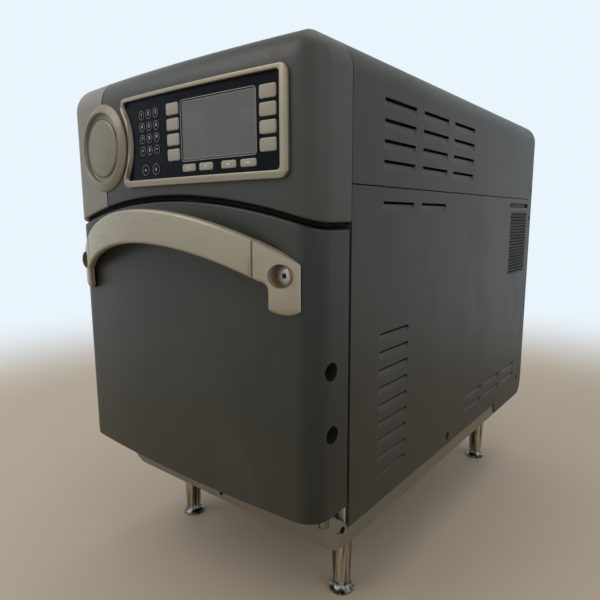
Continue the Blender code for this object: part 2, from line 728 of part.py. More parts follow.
def louvre_tools(name, places, face_x, side):
    """Openings through a side sheet, and the blades that slope in behind them.

    places holds each louvre's middle depth, top edge and length; face_x is the sheet's outer face.
    """
    holes = []
    shape = bmesh.new()
    for depth, top_z, length in places:
        low_z = top_z - LOUVRE_HEIGHT
        y1 = SEAM_Y + depth - length / 2
        y2 = SEAM_Y + depth + length / 2
        holes.append(((face_x - OVERRUN, y1, low_z), (face_x + OVERRUN, y2, top_z)))
        skin = face_x - side * SHEET / 3
        section = [
            (skin, low_z - LOUVRE_LAP), (skin, low_z + LOUVRE_BLADE / 2),
            (face_x - side * (LOUVRE_DEPTH - LOUVRE_BLADE), top_z),
            (face_x - side * LOUVRE_DEPTH, top_z),
            (skin - side * LOUVRE_BLADE / 2, low_z - LOUVRE_LAP),
        ]
        ends = [[shape.verts.new((x, y, z)) for x, z in section]
                for y in (y1 - LOUVRE_BLADE, y2 + LOUVRE_BLADE)]
        for i in range(len(section)):
            j = (i + 1) % len(section)
            shape.faces.new((ends[0][i], ends[0][j], ends[1][j], ends[1][i]))
        shape.faces.new(ends[0])
        shape.faces.new(ends[1])
    bmesh.ops.recalc_face_normals(shape, faces=shape.faces)
    blades = add_object(f"{name}_blades", mesh_from(shape, f"{name}_blades"), None)
    return boxes(f"{name}_openings", holes), blades


def side_outline():
    low = SIDE_BOTTOM_Z
    back = REAR_FLANGE_Y - PANEL_GAP
    return [
        (CASE_FRONT_Y, low), (REAR_Y - TONGUE_TOP_LENGTH, low), (REAR_Y - TONGUE_LENGTH, TONGUE_Z),
        (back, TONGUE_Z), (back, CASE_SEAM_Z - PANEL_GAP / 2), (CASE_FRONT_Y, CASE_SEAM_Z - PANEL_GAP / 2),
    ]


def make_side_panel(side, name):
    faces = sorted((side * HALF_WIDTH, side * SIDE_INNER_X))
    panel = extruded(f"side_panel_{name}", [side_outline()], "YZ", faces[0], faces[1], "painted_panel")
    places = []
    for column in range(SEAM_LOUVRE_COLUMNS):
        depth = COVER_LOUVRE_DEPTH + column * COVER_LOUVRE_SPACING
        top = CASE_SEAM_Z - SEAM_LOUVRE_DROP + LOUVRE_HEIGHT / 2
        places.append((depth, top, LOUVRE_LENGTH))
    for row in range(FRONT_LOUVRE_COUNT):
        top = SIDE_BOTTOM_Z + FRONT_LOUVRE_RISE + row * LOUVRE_PITCH + LOUVRE_HEIGHT / 2
        places.append((FRONT_LOUVRE_DEPTH, top, FRONT_LOUVRE_LENGTH))
    for column in range(REAR_LOUVRE_COLUMNS):
        depth = SIDE_DEPTH - REAR_LOUVRE_MARGIN - column * REAR_LOUVRE_SPACING
        for row in range(REAR_LOUVRE_ROWS):
            top = SIDE_BOTTOM_Z + REAR_LOUVRE_RISE + row * LOUVRE_PITCH + LOUVRE_HEIGHT / 2
            places.append((depth, top, REAR_LOUVRE_LENGTH))
    openings, blades = louvre_tools(f"side_louvres_{name}", places, side * HALF_WIDTH, side)
    combine(panel, openings)
    combine(panel, blades, "UNION")
    slots = []
    for row in range(GRILLE_COUNT):
        low = CASE_SEAM_Z - GRILLE_DROP + row * GRILLE_PITCH
        slots.append((SIDE_DEPTH - GRILLE_MARGIN, GRILLE_LENGTH, low, low + GRILLE_SLOT_HEIGHT))
    band = CASE_SEAM_Z - BAND_DROP
    slots.append((SIDE_DEPTH - BAND_MARGIN, BAND_LENGTH, band - BAND_HEIGHT / 2, band + BAND_HEIGHT / 2))
    corners = []
    for depth, length, low, high in slots:
        corners.append((
            (side * HALF_WIDTH - OVERRUN, SEAM_Y + depth - length / 2, low),
            (side * HALF_WIDTH + OVERRUN, SEAM_Y + depth + length / 2, high),
        ))
    combine(panel, boxes(f"side_slots_{name}", corners))


def make_top_cover():
    low = CASE_SEAM_Z + PANEL_GAP / 2
    outline = case_outline(0, low) + case_outline(SHEET, low)[::-1]
    cover = extruded("top_cover", [outline], "XZ", CASE_FRONT_Y, REAR_FLANGE_Y - PANEL_GAP, "painted_panel")
    places = []
    for row in range(COVER_LOUVRE_ROWS):
        top = TOP_Z - COVER_LOUVRE_TOP_DROP - row * COVER_LOUVRE_PITCH + LOUVRE_HEIGHT / 2
        for column in range(COVER_LOUVRE_COLUMNS):
            places.append((COVER_LOUVRE_DEPTH + column * COVER_LOUVRE_SPACING, top, LOUVRE_LENGTH))
    for side, name in ((-1, "left"), (1, "right")):
        openings, blades = louvre_tools(f"cover_louvres_{name}", places, side * HALF_WIDTH, side)
        combine(cover, openings)
        combine(cover, blades, "UNION")


def make_rear_panel():
    panel = extruded(
        "rear_panel", [case_outline(0, REAR_BOTTOM_Z)], "XZ", REAR_FLANGE_Y, REAR_Y, "painted_panel"
    )
    inside = [case_outline(SHEET, REAR_BOTTOM_Z + SHEET)]
    combine(panel, extruded("rear_inside", inside, "XZ", REAR_FLANGE_Y - OVERRUN, REAR_WEB_FRONT_Y))
    combine(panel, extruded("rear_outside", inside, "XZ", REAR_WEB_BACK_Y, REAR_Y + OVERRUN))
    slots = []
    for row in range(REAR_SLOT_COUNT):
        low = REAR_SLOT_LOW_Z + row * REAR_SLOT_PITCH
        slots.append((
            (-REAR_SLOT_LENGTH / 2, REAR_WEB_FRONT_Y - OVERRUN, low),
            (REAR_SLOT_LENGTH / 2, REAR_WEB_BACK_Y + OVERRUN / 2, low + REAR_SLOT_HEIGHT),
        ))
    combine(panel, boxes("rear_slots", slots))
    gland = cylinder(
        "gland_body",
        (GLAND_X, REAR_WEB_FRONT_Y + SHEET / 2, GLAND_Z),
        (GLAND_X, REAR_WEB_BACK_Y + GLAND_LENGTH, GLAND_Z),
        GLAND_RADIUS,
    )
    combine(panel, gland, "UNION")
    bore = cylinder(
        "gland_bore", (GLAND_X, REAR_FLANGE_Y, GLAND_Z), (GLAND_X, REAR_Y + OVERRUN, GLAND_Z),
        GLAND_BORE_RADIUS,
    )
    combine(panel, bore)
    fan_z = TOP_Z - FAN_DROP
    pin = cylinder(
        "fan_pin",
        (0, REAR_WEB_BACK_Y - SHEET / 2, fan_z),
        (0, REAR_WEB_FRONT_Y - FAN_LENGTH, fan_z),
        FAN_PIN_RADIUS,
    )
    combine(panel, pin, "UNION")


# Console: the domed head over the door

def dome(name, wall, low_z, back_y, finish=None):
    radius = TOP_RADIUS - wall
    levels = [(wall, low_z)]
    for step in range(DOME_STEPS + 1):
        turn = math.pi / 2 * step / DOME_STEPS
        levels.append((wall + radius * (1 - math.cos(turn)), TOP_ARC_Z + radius * math.sin(turn)))
    rings = [[(x, y, z) for x, y in front_outline(inset, back_y)] for inset, z in levels]
    return loft(name, rings, finish)


def badge_place(sink):
    """Axis of the badge: out along +Z of the matrix, its origin sunk into the bow's skin."""
    turn = math.asin(CAP_SEAM_X / FRONT_BOW_RADIUS)
    out = Vector((math.sin(turn), -math.cos(turn), 0))
    centre = Vector((CAP_SEAM_X, bow_y(CAP_SEAM_X), BADGE_Z)) - sink * out
    return Matrix.Translation(centre) @ Matrix.Rotation(turn, 4, "Z") @ Matrix.Rotation(math.pi / 2, 4, "X")


def make_console():
    low_z = ARCH_CENTRE_Z + ARCH_RADIUS * math.cos(math.asin(HALF_WIDTH / ARCH_RADIUS)) - OVERRUN
    hollow = dome("console_hollow", CONSOLE_WALL, low_z - OVERRUN, CONSOLE_BACK_Y + OVERRUN)
    floor = extruded(
        "console_floor", [arch_outline(ARCH_RADIUS + CONSOLE_WALL, False)], "XZ",
        FRONT_Y - OVERRUN, SEAM_Y + 2 * OVERRUN,
    )
    combine(hollow, floor)
    under = extruded(
        "console_arch", [arch_outline(ARCH_RADIUS, False)], "XZ", FRONT_Y - OVERRUN, SEAM_Y + OVERRUN
    )
    pocket_place = badge_place(BADGE_POCKET)
    pocket = cylinder(
        "badge_pocket",
        pocket_place.translation,
        pocket_place @ Vector((0, 0, OVERRUN)),
        BADGE_RADIUS + FIT_GAP,
        steps=BADGE_STEPS,
    )
    window = extruded(
        "keypad_window", [bezel_outline(BEZEL_LAP - BEZEL_BAND, BEZEL_INNER_CORNER_RADIUS + BEZEL_LAP)],
        "XZ", FRONT_Y - OVERRUN, FRONT_Y + 2 * OVERRUN,
    )
    for name, finish, edges in (
        ("console_housing", "painted_panel", (-WIDTH, CAP_SEAM_X + CAP_SEAM_GAP / 2)),
        ("console_side_cap", "champagne_metal", (CAP_SEAM_X - CAP_SEAM_GAP / 2, WIDTH)),
    ):
        shell = dome(name, 0, low_z, CONSOLE_BACK_Y, finish)
        combine(shell, hollow)
        combine(shell, under)
        other = box(
            f"{name}_trim", (edges[0], FRONT_Y - OVERRUN, ARCH_CENTRE_Z), (edges[1], SEAM_Y + OVERRUN, FAR)
        )
        combine(shell, other)
        combine(shell, pocket)
        if name == "console_housing":
            combine(shell, window)
    badge_profile = [
        (0, BADGE_DISC), (BADGE_DISC_RADIUS, BADGE_DISC), (BADGE_DISC_RADIUS, BADGE_FLOOR),
        (BADGE_FLOOR_RADIUS, BADGE_FLOOR), (BADGE_CREST_RADIUS, BADGE_HEIGHT),
        (BADGE_CREST_RADIUS + BADGE_CREST_WIDTH, BADGE_HEIGHT), (BADGE_RADIUS, BADGE_RIM),
        (BADGE_RADIUS, 0), (0, 0),
    ]
    turned("round_badge", badge_profile, badge_place(BADGE_SINK), "champagne_metal", BADGE_STEPS)


# Keypad: bezel, panel, display and the keys that travel in it

def key_place(x, z):
    """Origin on the keypad's face, turned so that +Y runs straight in through the bow."""
    turn = math.asin(x / FRONT_BOW_RADIUS)
    return Matrix.Translation((x, bow_y(x), z)) @ Matrix.Rotation(turn, 4, "Z")


def key_table():
    """Every key's name, place and size: a width and height, or a radius for a round one."""
    keys = []
    span = KEYPAD_SPAN
    tall = BEZEL_HEIGHT
    soft_size = (SOFT_KEY_WIDTH_SHARE * span, SOFT_KEY_HEIGHT_SHARE * tall)
    for side, share in (("left", SOFT_KEY_LEFT_SHARE), ("right", SOFT_KEY_RIGHT_SHARE)):
        for row in range(4):
            z = BEZEL_HIGH_Z - (SOFT_KEY_TOP_SHARE + row * SOFT_KEY_PITCH_SHARE) * tall
            keys.append((f"soft_key_{side}_{row + 1}", KEYPAD_LEFT_X + share * span, z, soft_size))
    nav_size = (NAV_KEY_WIDTH_SHARE * span, NAV_KEY_HEIGHT_SHARE * tall)
    nav_z = BEZEL_HIGH_Z - NAV_KEY_DROP_SHARE * tall
    for name, share in NAV_KEY_SHARES.items():
        keys.append((f"key_{name}", KEYPAD_LEFT_X + share * span, nav_z, nav_size))
    column_pitch = NUMBER_KEY_COLUMN_SHARE * span
    row_pitch = NUMBER_KEY_PITCH_SHARE * tall
    pitch = min(column_pitch, row_pitch)
    for index, name in enumerate(NUMBER_KEY_NAMES):
        row, column = divmod(index, 3)
        x = KEYPAD_LEFT_X + NUMBER_KEY_LEFT_SHARE * span + column * column_pitch
        z = BEZEL_HIGH_Z - NUMBER_KEY_TOP_SHARE * tall - row * row_pitch
        keys.append((f"key_{name}", x, z, NUMBER_KEY_RADIUS_SHARE * pitch))
    round_z = BEZEL_HIGH_Z - ROUND_KEY_DROP_SHARE * tall
    for name, share in ROUND_KEY_SHARES.items():
        keys.append((f"key_{name}", KEYPAD_LEFT_X + share * span, round_z, ROUND_KEY_RADIUS_SHARE * pitch))
    return keys


def key_shape(size, grow, front, back):
    """A key's block about its own origin, from front to back along Y."""
    shape = bmesh.new()
    if isinstance(size, tuple):
        bmesh.ops.create_cube(shape, size=1)
        bmesh.ops.scale(shape, vec=(size[0] + 2 * grow, back - front, size[1] + 2 * grow), verts=shape.verts)
    else:
        bmesh.ops.create_cone(
            shape, cap_ends=True, segments=ROUND_STEPS, radius1=size + grow, radius2=size + grow,
            depth=back - front,
        )
        bmesh.ops.rotate(shape, matrix=Matrix.Rotation(math.pi / 2, 3, "X"), verts=shape.verts)
    bmesh.ops.translate(shape, vec=(0, (front + back) / 2, 0), verts=shape.verts)
    return shape


def make_keypad():
    inner = bezel_outline(-BEZEL_BAND, BEZEL_INNER_CORNER_RADIUS)
    shift = BEZEL_RIGHT_BAND - BEZEL_BAND
    edge = BEZEL_RIGHT_X - BEZEL_RIGHT_BAND - BEZEL_INNER_CORNER_RADIUS
    inner = [(x - shift if x > edge else x, z) for x, z in inner]
    bowed(
        "bezel_frame", [bezel_outline(0, BEZEL_CORNER_RADIUS), inner], -BEZEL_PROUD, -FIT_GAP,
        "champagne_metal",
    )
    outline = bezel_outline(
        BEZEL_LAP - BEZEL_BAND - FIT_GAP, BEZEL_INNER_CORNER_RADIUS + BEZEL_LAP - FIT_GAP
    )
    panel = bowed("keypad_panel", [outline], 0, KEYPAD_THICKNESS, "keypad_film")
    pockets = bmesh.new()
    for name, x, z, size in key_table():
        pocket = key_shape(size, FIT_GAP, -OVERRUN, POCKET_DEPTH)
        pocket.transform(key_place(x, z))
        spare = mesh_from(pocket, "pocket")
        pockets.from_mesh(spare)
        bpy.data.meshes.remove(spare)
        key = key_shape(size, 0, -KEY_PROUD, KEY_DEPTH)
        crown = [e for e in key.edges if all(v.co.y < -KEY_PROUD / 2 for v in e.verts)]
        bmesh.ops.bevel(key, geom=crown, offset=KEY_EDGE, segments=1, affect="EDGES")
        add_object(name, mesh_from(key, name), "key_plastic", key_place(x, z))
    combine(panel, add_object("key_pockets", mesh_from(pockets, "key_pockets"), None))
    screen_low = (KEYPAD_LEFT_X + DISPLAY_LOW_SHARES[0] * KEYPAD_SPAN,
                  BEZEL_HIGH_Z - DISPLAY_LOW_SHARES[1] * BEZEL_HEIGHT)
    screen_high = (KEYPAD_LEFT_X + DISPLAY_HIGH_SHARES[0] * KEYPAD_SPAN,
                   BEZEL_HIGH_Z - DISPLAY_HIGH_SHARES[1] * BEZEL_HEIGHT)
    screen = [rounded_rectangle(screen_low, screen_high, DISPLAY_CORNER_RADIUS, 2)]
    depth = DISPLAY_RECESS + DISPLAY_THICKNESS
    combine(panel, bowed("display_recess", screen, -OVERRUN / 2, depth + FIT_GAP))
    glass_low = [low + FIT_GAP for low in screen_low]
    glass_high = [high - FIT_GAP for high in screen_high]
    glass = [rounded_rectangle(glass_low, glass_high, DISPLAY_CORNER_RADIUS - FIT_GAP, 2)]
    bowed("display_window", glass, DISPLAY_RECESS, depth, "display_glass")


def make_control_board():
    front = bow_y(BOARD_RIGHT_X) + KEYPAD_THICKNESS + BOARD_STANDOFF
    board = box(
        "control_board", (BOARD_LEFT_X, front, BOARD_LOW_Z),
        (BOARD_RIGHT_X, front + BOARD_THICKNESS, BOARD_HIGH_Z), "board_green",
    )
    for x in (BOARD_LEFT_X + POST_INSET, BOARD_RIGHT_X - POST_INSET):
        for z in (BOARD_LOW_Z + POST_INSET, BOARD_HIGH_Z - POST_INSET):
            tip = max(bow_y(x - POST_RADIUS, KEYPAD_THICKNESS), bow_y(x + POST_RADIUS, KEYPAD_THICKNESS))
            post = cylinder(
                "board_post", (x, tip + FIT_GAP, z), (x, front + BOARD_THICKNESS / 2, z), POST_RADIUS, steps=8
            )
            combine(board, post, "UNION")
    middle = (BOARD_LEFT_X + BOARD_RIGHT_X) / 2
    high = (BOARD_LOW_Z + BOARD_HIGH_Z) / 2
    half = BOARD_CHIP_WIDTH / 2
    chip = box(
        "board_chip", (middle - half, front + BOARD_THICKNESS / 2, high - half),
        (middle + half, front + BOARD_THICKNESS + BOARD_CHIP_HEIGHT, high + half),
    )
    combine(board, chip, "UNION")


# Door: shell, inner frame with its hinge arms, seal and handle

def make_door_shell():
    top = ARCH_MID_Z
    shell = extruded(
        "door_shell", [front_outline(0, DOOR_BACK_Y)], "XY", DOOR_BOTTOM_Z, top, "painted_panel"
    )
    over = extruded(
        "door_arch", [arch_outline(ARCH_RADIUS - DOOR_TOP_GAP, True)], "XZ",
        FRONT_Y - OVERRUN, SEAM_Y + OVERRUN,
    )
    combine(shell, over)
    hollow = extruded(
        "door_hollow", [front_outline(DOOR_WALL, DOOR_BACK_Y + OVERRUN)], "XY",
        DOOR_BOTTOM_Z + DOOR_WALL, top,
    )
    head = extruded(
        "door_head", [arch_outline(ARCH_RADIUS - DOOR_TOP_GAP - DOOR_WALL, True)], "XZ",
        FRONT_Y - OVERRUN, SEAM_Y + 2 * OVERRUN,
    )
    combine(hollow, head)
    combine(shell, hollow)
    for side, name in ((-1, "left"), (1, "right")):
        for number, (reach, rise) in enumerate(DOOR_SCREW_HOLES):
            hole = cylinder(
                f"door_hole_{name}_{number}",
                (side * (HALF_WIDTH - OVERRUN), SEAM_Y - reach, DOOR_BOTTOM_Z + rise),
                (side * (HALF_WIDTH + OVERRUN), SEAM_Y - reach, DOOR_BOTTOM_Z + rise),
                DOOR_SCREW_HOLE_RADIUS,
            )
            combine(shell, hole)
        arm_x = sorted((side * (HINGE_ARM_X - HINGE_SLOT_GAP),
                        side * (HINGE_ARM_X + HINGE_ARM_THICKNESS + HINGE_SLOT_GAP)))
        reach = HINGE_BOSS_RADIUS + HINGE_SLOT_GAP
        slot = box(
            f"hinge_slot_{name}",
            (arm_x[0], SEAM_Y - HINGE_REACH - reach, DOOR_BOTTOM_Z - OVERRUN / 2),
            (arm_x[1], SEAM_Y - HINGE_REACH + reach, DOOR_BOTTOM_Z + OVERRUN / 2),
        )
        combine(shell, slot)


def hinge_arm_outline():
    """The arm from the side: a boss round the pin, a neck through the door's floor, a strap above."""
    pin = (SEAM_Y - HINGE_REACH, HINGE_Z)
    front = pin[0] - HINGE_BOSS_RADIUS
    back = pin[0] + HINGE_BOSS_RADIUS
    plate = DOOR_BACK_Y - INNER_FRAME_SHEET / 2
    boss = arc(pin, HINGE_BOSS_RADIUS, math.pi, 2 * math.pi, 2 * ARC_STEPS)
    return boss + [
        (back, HINGE_Z + HINGE_ARM_SHOULDER), (plate, HINGE_Z + HINGE_ARM_FOOT),
        (plate, HINGE_Z + HINGE_ARM_LENGTH), (back, HINGE_Z + HINGE_ARM_LENGTH),
        (front, HINGE_Z + HINGE_ARM_FOOT + HINGE_BOSS_RADIUS),
    ]


def make_inner_frame():
    half = HALF_WIDTH - DOOR_WALL - FIT_GAP
    radius = ARCH_RADIUS - DOOR_TOP_GAP - DOOR_WALL - FIT_GAP
    end = math.asin(half / radius)
    low = DOOR_BOTTOM_Z + DOOR_WALL + FIT_GAP
    outline = [(-half, low), (half, low)]
    outline += arc((0, ARCH_CENTRE_Z), radius, math.pi / 2 - end, math.pi / 2 + end, ARCH_STEPS)
    frame = extruded(
        "door_inner_frame", [outline], "XZ", DOOR_BACK_Y - INNER_FRAME_SHEET, DOOR_BACK_Y, "stainless"
    )
    plug_half = CAVITY_HALF_WIDTH - PLUG_GAP
    plug_low = CAVITY_LOW_Z + PLUG_GAP
    plug_high = CAVITY_HIGH_Z - PLUG_GAP
    plug = extruded(
        "door_plug", [rounded_rectangle((-plug_half, plug_low), (plug_half, plug_high), PLUG_CORNER_RADIUS)],
        "XZ", DOOR_BACK_Y - INNER_FRAME_SHEET / 2, SEAM_Y + PLUG_DEPTH,
    )
    combine(frame, plug, "UNION")
    pan_low = (-plug_half + INNER_FRAME_SHEET, plug_low + INNER_FRAME_SHEET)
    pan_high = (plug_half - INNER_FRAME_SHEET, plug_high - INNER_FRAME_SHEET)
    pan_outline = rounded_rectangle(pan_low, pan_high, PLUG_CORNER_RADIUS - INNER_FRAME_SHEET)
    pan = extruded("door_pan", [pan_outline], "XZ", FRONT_Y, SEAM_Y + PLUG_DEPTH - SHEET)
    combine(frame, pan)
    for side, name in ((-1, "left"), (1, "right")):
        faces = sorted((side * HINGE_ARM_X, side * (HINGE_ARM_X + HINGE_ARM_THICKNESS)))
        arm = extruded(f"hinge_arm_{name}", [hinge_arm_outline()], "YZ", faces[0], faces[1])
        combine(frame, arm, "UNION")
        bore = cylinder(
            f"hinge_bore_{name}",
            (side * (HINGE_ARM_X - OVERRUN), SEAM_Y - HINGE_REACH, HINGE_Z),
            (side * (HINGE_ARM_X + OVERRUN), SEAM_Y - HINGE_REACH, HINGE_Z),
            HINGE_PIN_RADIUS + FIT_GAP,
        )
        combine(frame, bore)
    hole = rounded_rectangle(
        (-plug_half - FIT_GAP, plug_low - FIT_GAP), (plug_half + FIT_GAP, plug_high + FIT_GAP),
        PLUG_CORNER_RADIUS,
    )
    rim = rounded_rectangle(
        (-plug_half - GASKET_WIDTH, plug_low - GASKET_WIDTH),
        (plug_half + GASKET_WIDTH, plug_high + GASKET_WIDTH), PLUG_CORNER_RADIUS + GASKET_WIDTH,
    )
    back = DOOR_BACK_Y + FIT_GAP
    extruded("door_gasket", [rim, hole], "XZ", back, back + GASKET_DEPTH, "seal_rubber")


def handle_plan_radius():
    """Radius of the handle in plan: through its middle and its ends, just proud of the door."""
    end_y = bow_y(HALF_WIDTH - HANDLE_END_MARGIN) - HANDLE_END_PROUD
    rise = end_y - (SEAM_Y - HANDLE_REACH)
    return ((HALF_WIDTH - HANDLE_END_MARGIN) ** 2 + rise ** 2) / (2 * rise)


def handle_front(x):
    radius = handle_plan_radius()
    return SEAM_Y - HANDLE_REACH + radius - math.sqrt(radius ** 2 - x ** 2)


def handle_arc(mid_z, radius, start_x, end_x, steps):
    """One edge of the handle seen from the front, from start_x to end_x."""
    start = math.acos(start_x / radius)
    end = math.acos(end_x / radius)
    return arc((0, mid_z - radius), radius, start, end, steps)


def make_handle():
    half = HALF_WIDTH - HANDLE_BAR_MARGIN - FIT_GAP / 2
    top_z = ARCH_MID_Z - HANDLE_TOP_DROP
    band = handle_arc(top_z, HANDLE_TOP_RADIUS, half, -half, ARCH_STEPS)
    band += handle_arc(top_z - HANDLE_HEIGHT, HANDLE_LOW_RADIUS, -half, half, ARCH_STEPS)
    front_y = SEAM_Y - HANDLE_REACH
    radius = handle_plan_radius()
    low_z = ARCH_MID_Z - HANDLE_LEG_DROP
    bar = extruded("handle_bar", [band], "XZ", front_y - OVERRUN, SEAM_Y, "champagne_metal")
    centre = (0, front_y + radius)
    turn = math.asin((half + OVERRUN) / radius)
    low = -math.pi / 2 - turn
    high = -math.pi / 2 + turn
    plan = arc(centre, radius, low, high, ARCH_STEPS)
    plan += arc(centre, radius - HANDLE_THICKNESS, high, low, ARCH_STEPS)
    combine(bar, extruded("handle_plan", [plan], "XY", low_z, ARCH_MID_Z), "INTERSECT")
    soften(bar, HANDLE_EDGE)
    for side, name in ((-1, "left"), (1, "right")):
        make_handle_end(side, name)


def make_handle_end(side, name):
    near = HALF_WIDTH - HANDLE_BAR_MARGIN + FIT_GAP / 2
    end_x = HALF_WIDTH - HANDLE_END_MARGIN
    leg_x = end_x - HANDLE_LEG_WIDTH
    corner = HANDLE_LEG_CORNER
    quarter = math.pi / 2
    top_z = ARCH_MID_Z - HANDLE_TOP_DROP
    low_z = ARCH_MID_Z - HANDLE_LEG_DROP
    outline = handle_arc(top_z - HANDLE_HEIGHT, HANDLE_LOW_RADIUS, near, leg_x - corner, 2)
    inner_z = outline[-1][1] - corner
    outline += arc((leg_x - corner, inner_z), corner, quarter, 0, ARC_STEPS)[1:]
    outline += arc((leg_x + corner, low_z + corner), corner, 2 * quarter, 3 * quarter, ARC_STEPS)
    outline += arc((end_x - corner, low_z + corner), corner, -quarter, 0, ARC_STEPS)
    outline += handle_arc(top_z, HANDLE_TOP_RADIUS, end_x, near, ARC_STEPS)
    outline = [(side * x, z) for x, z in outline]
    end = extruded(
        f"handle_end_{name}", [outline], "XZ", SEAM_Y - HANDLE_REACH - OVERRUN, SEAM_Y, "champagne_metal"
    )
    reach = near - OVERRUN
    outer = end_x + OVERRUN / 3
    steps = 2 * ARC_STEPS
    across = [reach + (outer - reach) * i / steps for i in range(steps + 1)]
    front = [(x, handle_front(x)) for x in across]
    door = [(x, y - FIT_GAP) for x, y in front_outline(-FIT_GAP, SEAM_Y) if reach < x < outer]
    door = [(outer, bow_y(outer, -FIT_GAP) - FIT_GAP)] + door + [(reach, bow_y(reach, -FIT_GAP) - FIT_GAP)]
    plan = [(side * x, y) for x, y in front + door]
    combine(end, extruded(f"handle_end_plan_{name}", [plan], "XY", low_z - OVERRUN, ARCH_MID_Z), "INTERSECT")
    bore_x = end_x - HANDLE_BORE_MARGIN
    bore_z = ARCH_MID_Z - HANDLE_BORE_DROP
    floor = handle_front(bore_x) + HANDLE_BORE_FLOOR
    bore = cylinder(
        f"handle_bore_{name}",
        (side * bore_x, SEAM_Y - HANDLE_REACH - OVERRUN, bore_z),
        (side * bore_x, floor, bore_z),
        HANDLE_BORE_RADIUS,
        steps=WHEEL_STEPS,
    )
    combine(end, bore)


# Cavity, with the pieces that stand in it

def make_cavity():
    half = CAVITY_HALF_WIDTH + LINER_WALL
    front = CASE_FRONT_Y
    back = SEAM_Y + CAVITY_DEPTH
    rear = back + LINER_WALL
    liner = box(
        "cavity_liner", (-half, front, CAVITY_LOW_Z - LINER_WALL), (half, rear, CAVITY_HIGH_Z + LINER_WALL),
        "stainless",
    )
    flange_half = SIDE_INNER_X - FIT_GAP
    flange = box(
        "cavity_flange", (-flange_half, front, BASE_TOP_Z + FIT_GAP),
        (flange_half, front + INNER_FRAME_SHEET, CASE_SEAM_Z - FLANGE_TOP_GAP),
    )
    combine(liner, flange, "UNION")
    stand = box(
        "cavity_stand", (-STAND_HALF_WIDTH, rear - STAND_DEPTH, BASE_TOP_Z + FIT_GAP),
        (STAND_HALF_WIDTH, rear - STAND_DEPTH / 2, CAVITY_LOW_Z - LINER_WALL / 2),
    )
    combine(liner, stand, "UNION")
    scroll = cylinder(
        "scroll_case", (0, rear - LINER_WALL / 2, BLOWER_Z), (0, rear + SCROLL_LENGTH, BLOWER_Z),
        SCROLL_RADIUS + SCROLL_WALL, steps=WHEEL_STEPS,
    )
    combine(liner, scroll, "UNION")
    chamber = cylinder(
        "scroll_chamber", (0, rear, BLOWER_Z), (0, rear + SCROLL_LENGTH + OVERRUN, BLOWER_Z),
        SCROLL_RADIUS, steps=WHEEL_STEPS,
    )
    combine(liner, chamber)
    outline = rounded_rectangle(
        (-CAVITY_HALF_WIDTH, CAVITY_LOW_Z), (CAVITY_HALF_WIDTH, CAVITY_HIGH_Z), CAVITY_CORNER_RADIUS
    )
    combine(liner, extruded("cavity_space", [outline], "XZ", front - OVERRUN, back))
    inlet = cylinder(
        "cavity_inlet", (0, back - OVERRUN, BLOWER_Z), (0, rear + OVERRUN, BLOWER_Z), BACK_INLET_RADIUS,
        steps=WHEEL_STEPS,
    )
    combine(liner, inlet)
    for side, name in ((-1, "left"), (1, "right")):
        faces = sorted((side * (CAVITY_HALF_WIDTH - LEDGE_WIDTH),
                        side * (CAVITY_HALF_WIDTH + LINER_WALL / 2)))
        ledge = box(
            f"rack_ledge_{name}", (faces[0], SEAM_Y + LEDGE_FRONT_DEPTH, ledge_z() - LEDGE_THICKNESS),
            (faces[1], SEAM_Y + LEDGE_BACK_DEPTH, ledge_z()),
        )
        combine(liner, ledge, "UNION")


def ledge_z():
    return CAVITY_LOW_Z + LEDGE_HEIGHT_SHARE * CAVITY_HEIGHT


def make_rack():
    half = CAVITY_HALF_WIDTH - FIT_GAP * 2
    front = SEAM_Y + LEDGE_FRONT_DEPTH
    back = SEAM_Y + LEDGE_BACK_DEPTH
    holes = []
    pitch = (2 * (half - RACK_RIM) + RACK_BAR) / RACK_OPENINGS
    for i in range(RACK_OPENINGS):
        left = -half + RACK_RIM + i * pitch
        holes.append(rectangle((left, front + RACK_RIM), (left + pitch - RACK_BAR, back - RACK_RIM)))
    low = ledge_z() + FIT_GAP
    outline = rectangle((-half, front), (half, back))
    extruded("cooking_rack", [outline] + holes, "XY", low, low + RACK_THICKNESS, "polished_steel")


def make_jet_plate():
    half = CAVITY_HALF_WIDTH - FIT_GAP
    front = SEAM_Y + JET_PLATE_FRONT_DEPTH
    back = SEAM_Y + CAVITY_DEPTH - FIT_GAP
    pitch = (back - front) / (JET_SLOTS + 1)
    slots = []
    for i in range(JET_SLOTS):
        middle = front + (i + 1) * pitch
        slots.append(rectangle((-half * JET_SLOT_SHARE, middle - JET_SLOT_WIDTH / 2),
                               (half * JET_SLOT_SHARE, middle + JET_SLOT_WIDTH / 2)))
    outline = rectangle((-half, front), (half, back))
    low = CAVITY_HIGH_Z - JET_PLATE_DROP
    extruded("jet_plate", [outline] + slots, "XY", low, low + JET_PLATE_THICKNESS, "stainless")


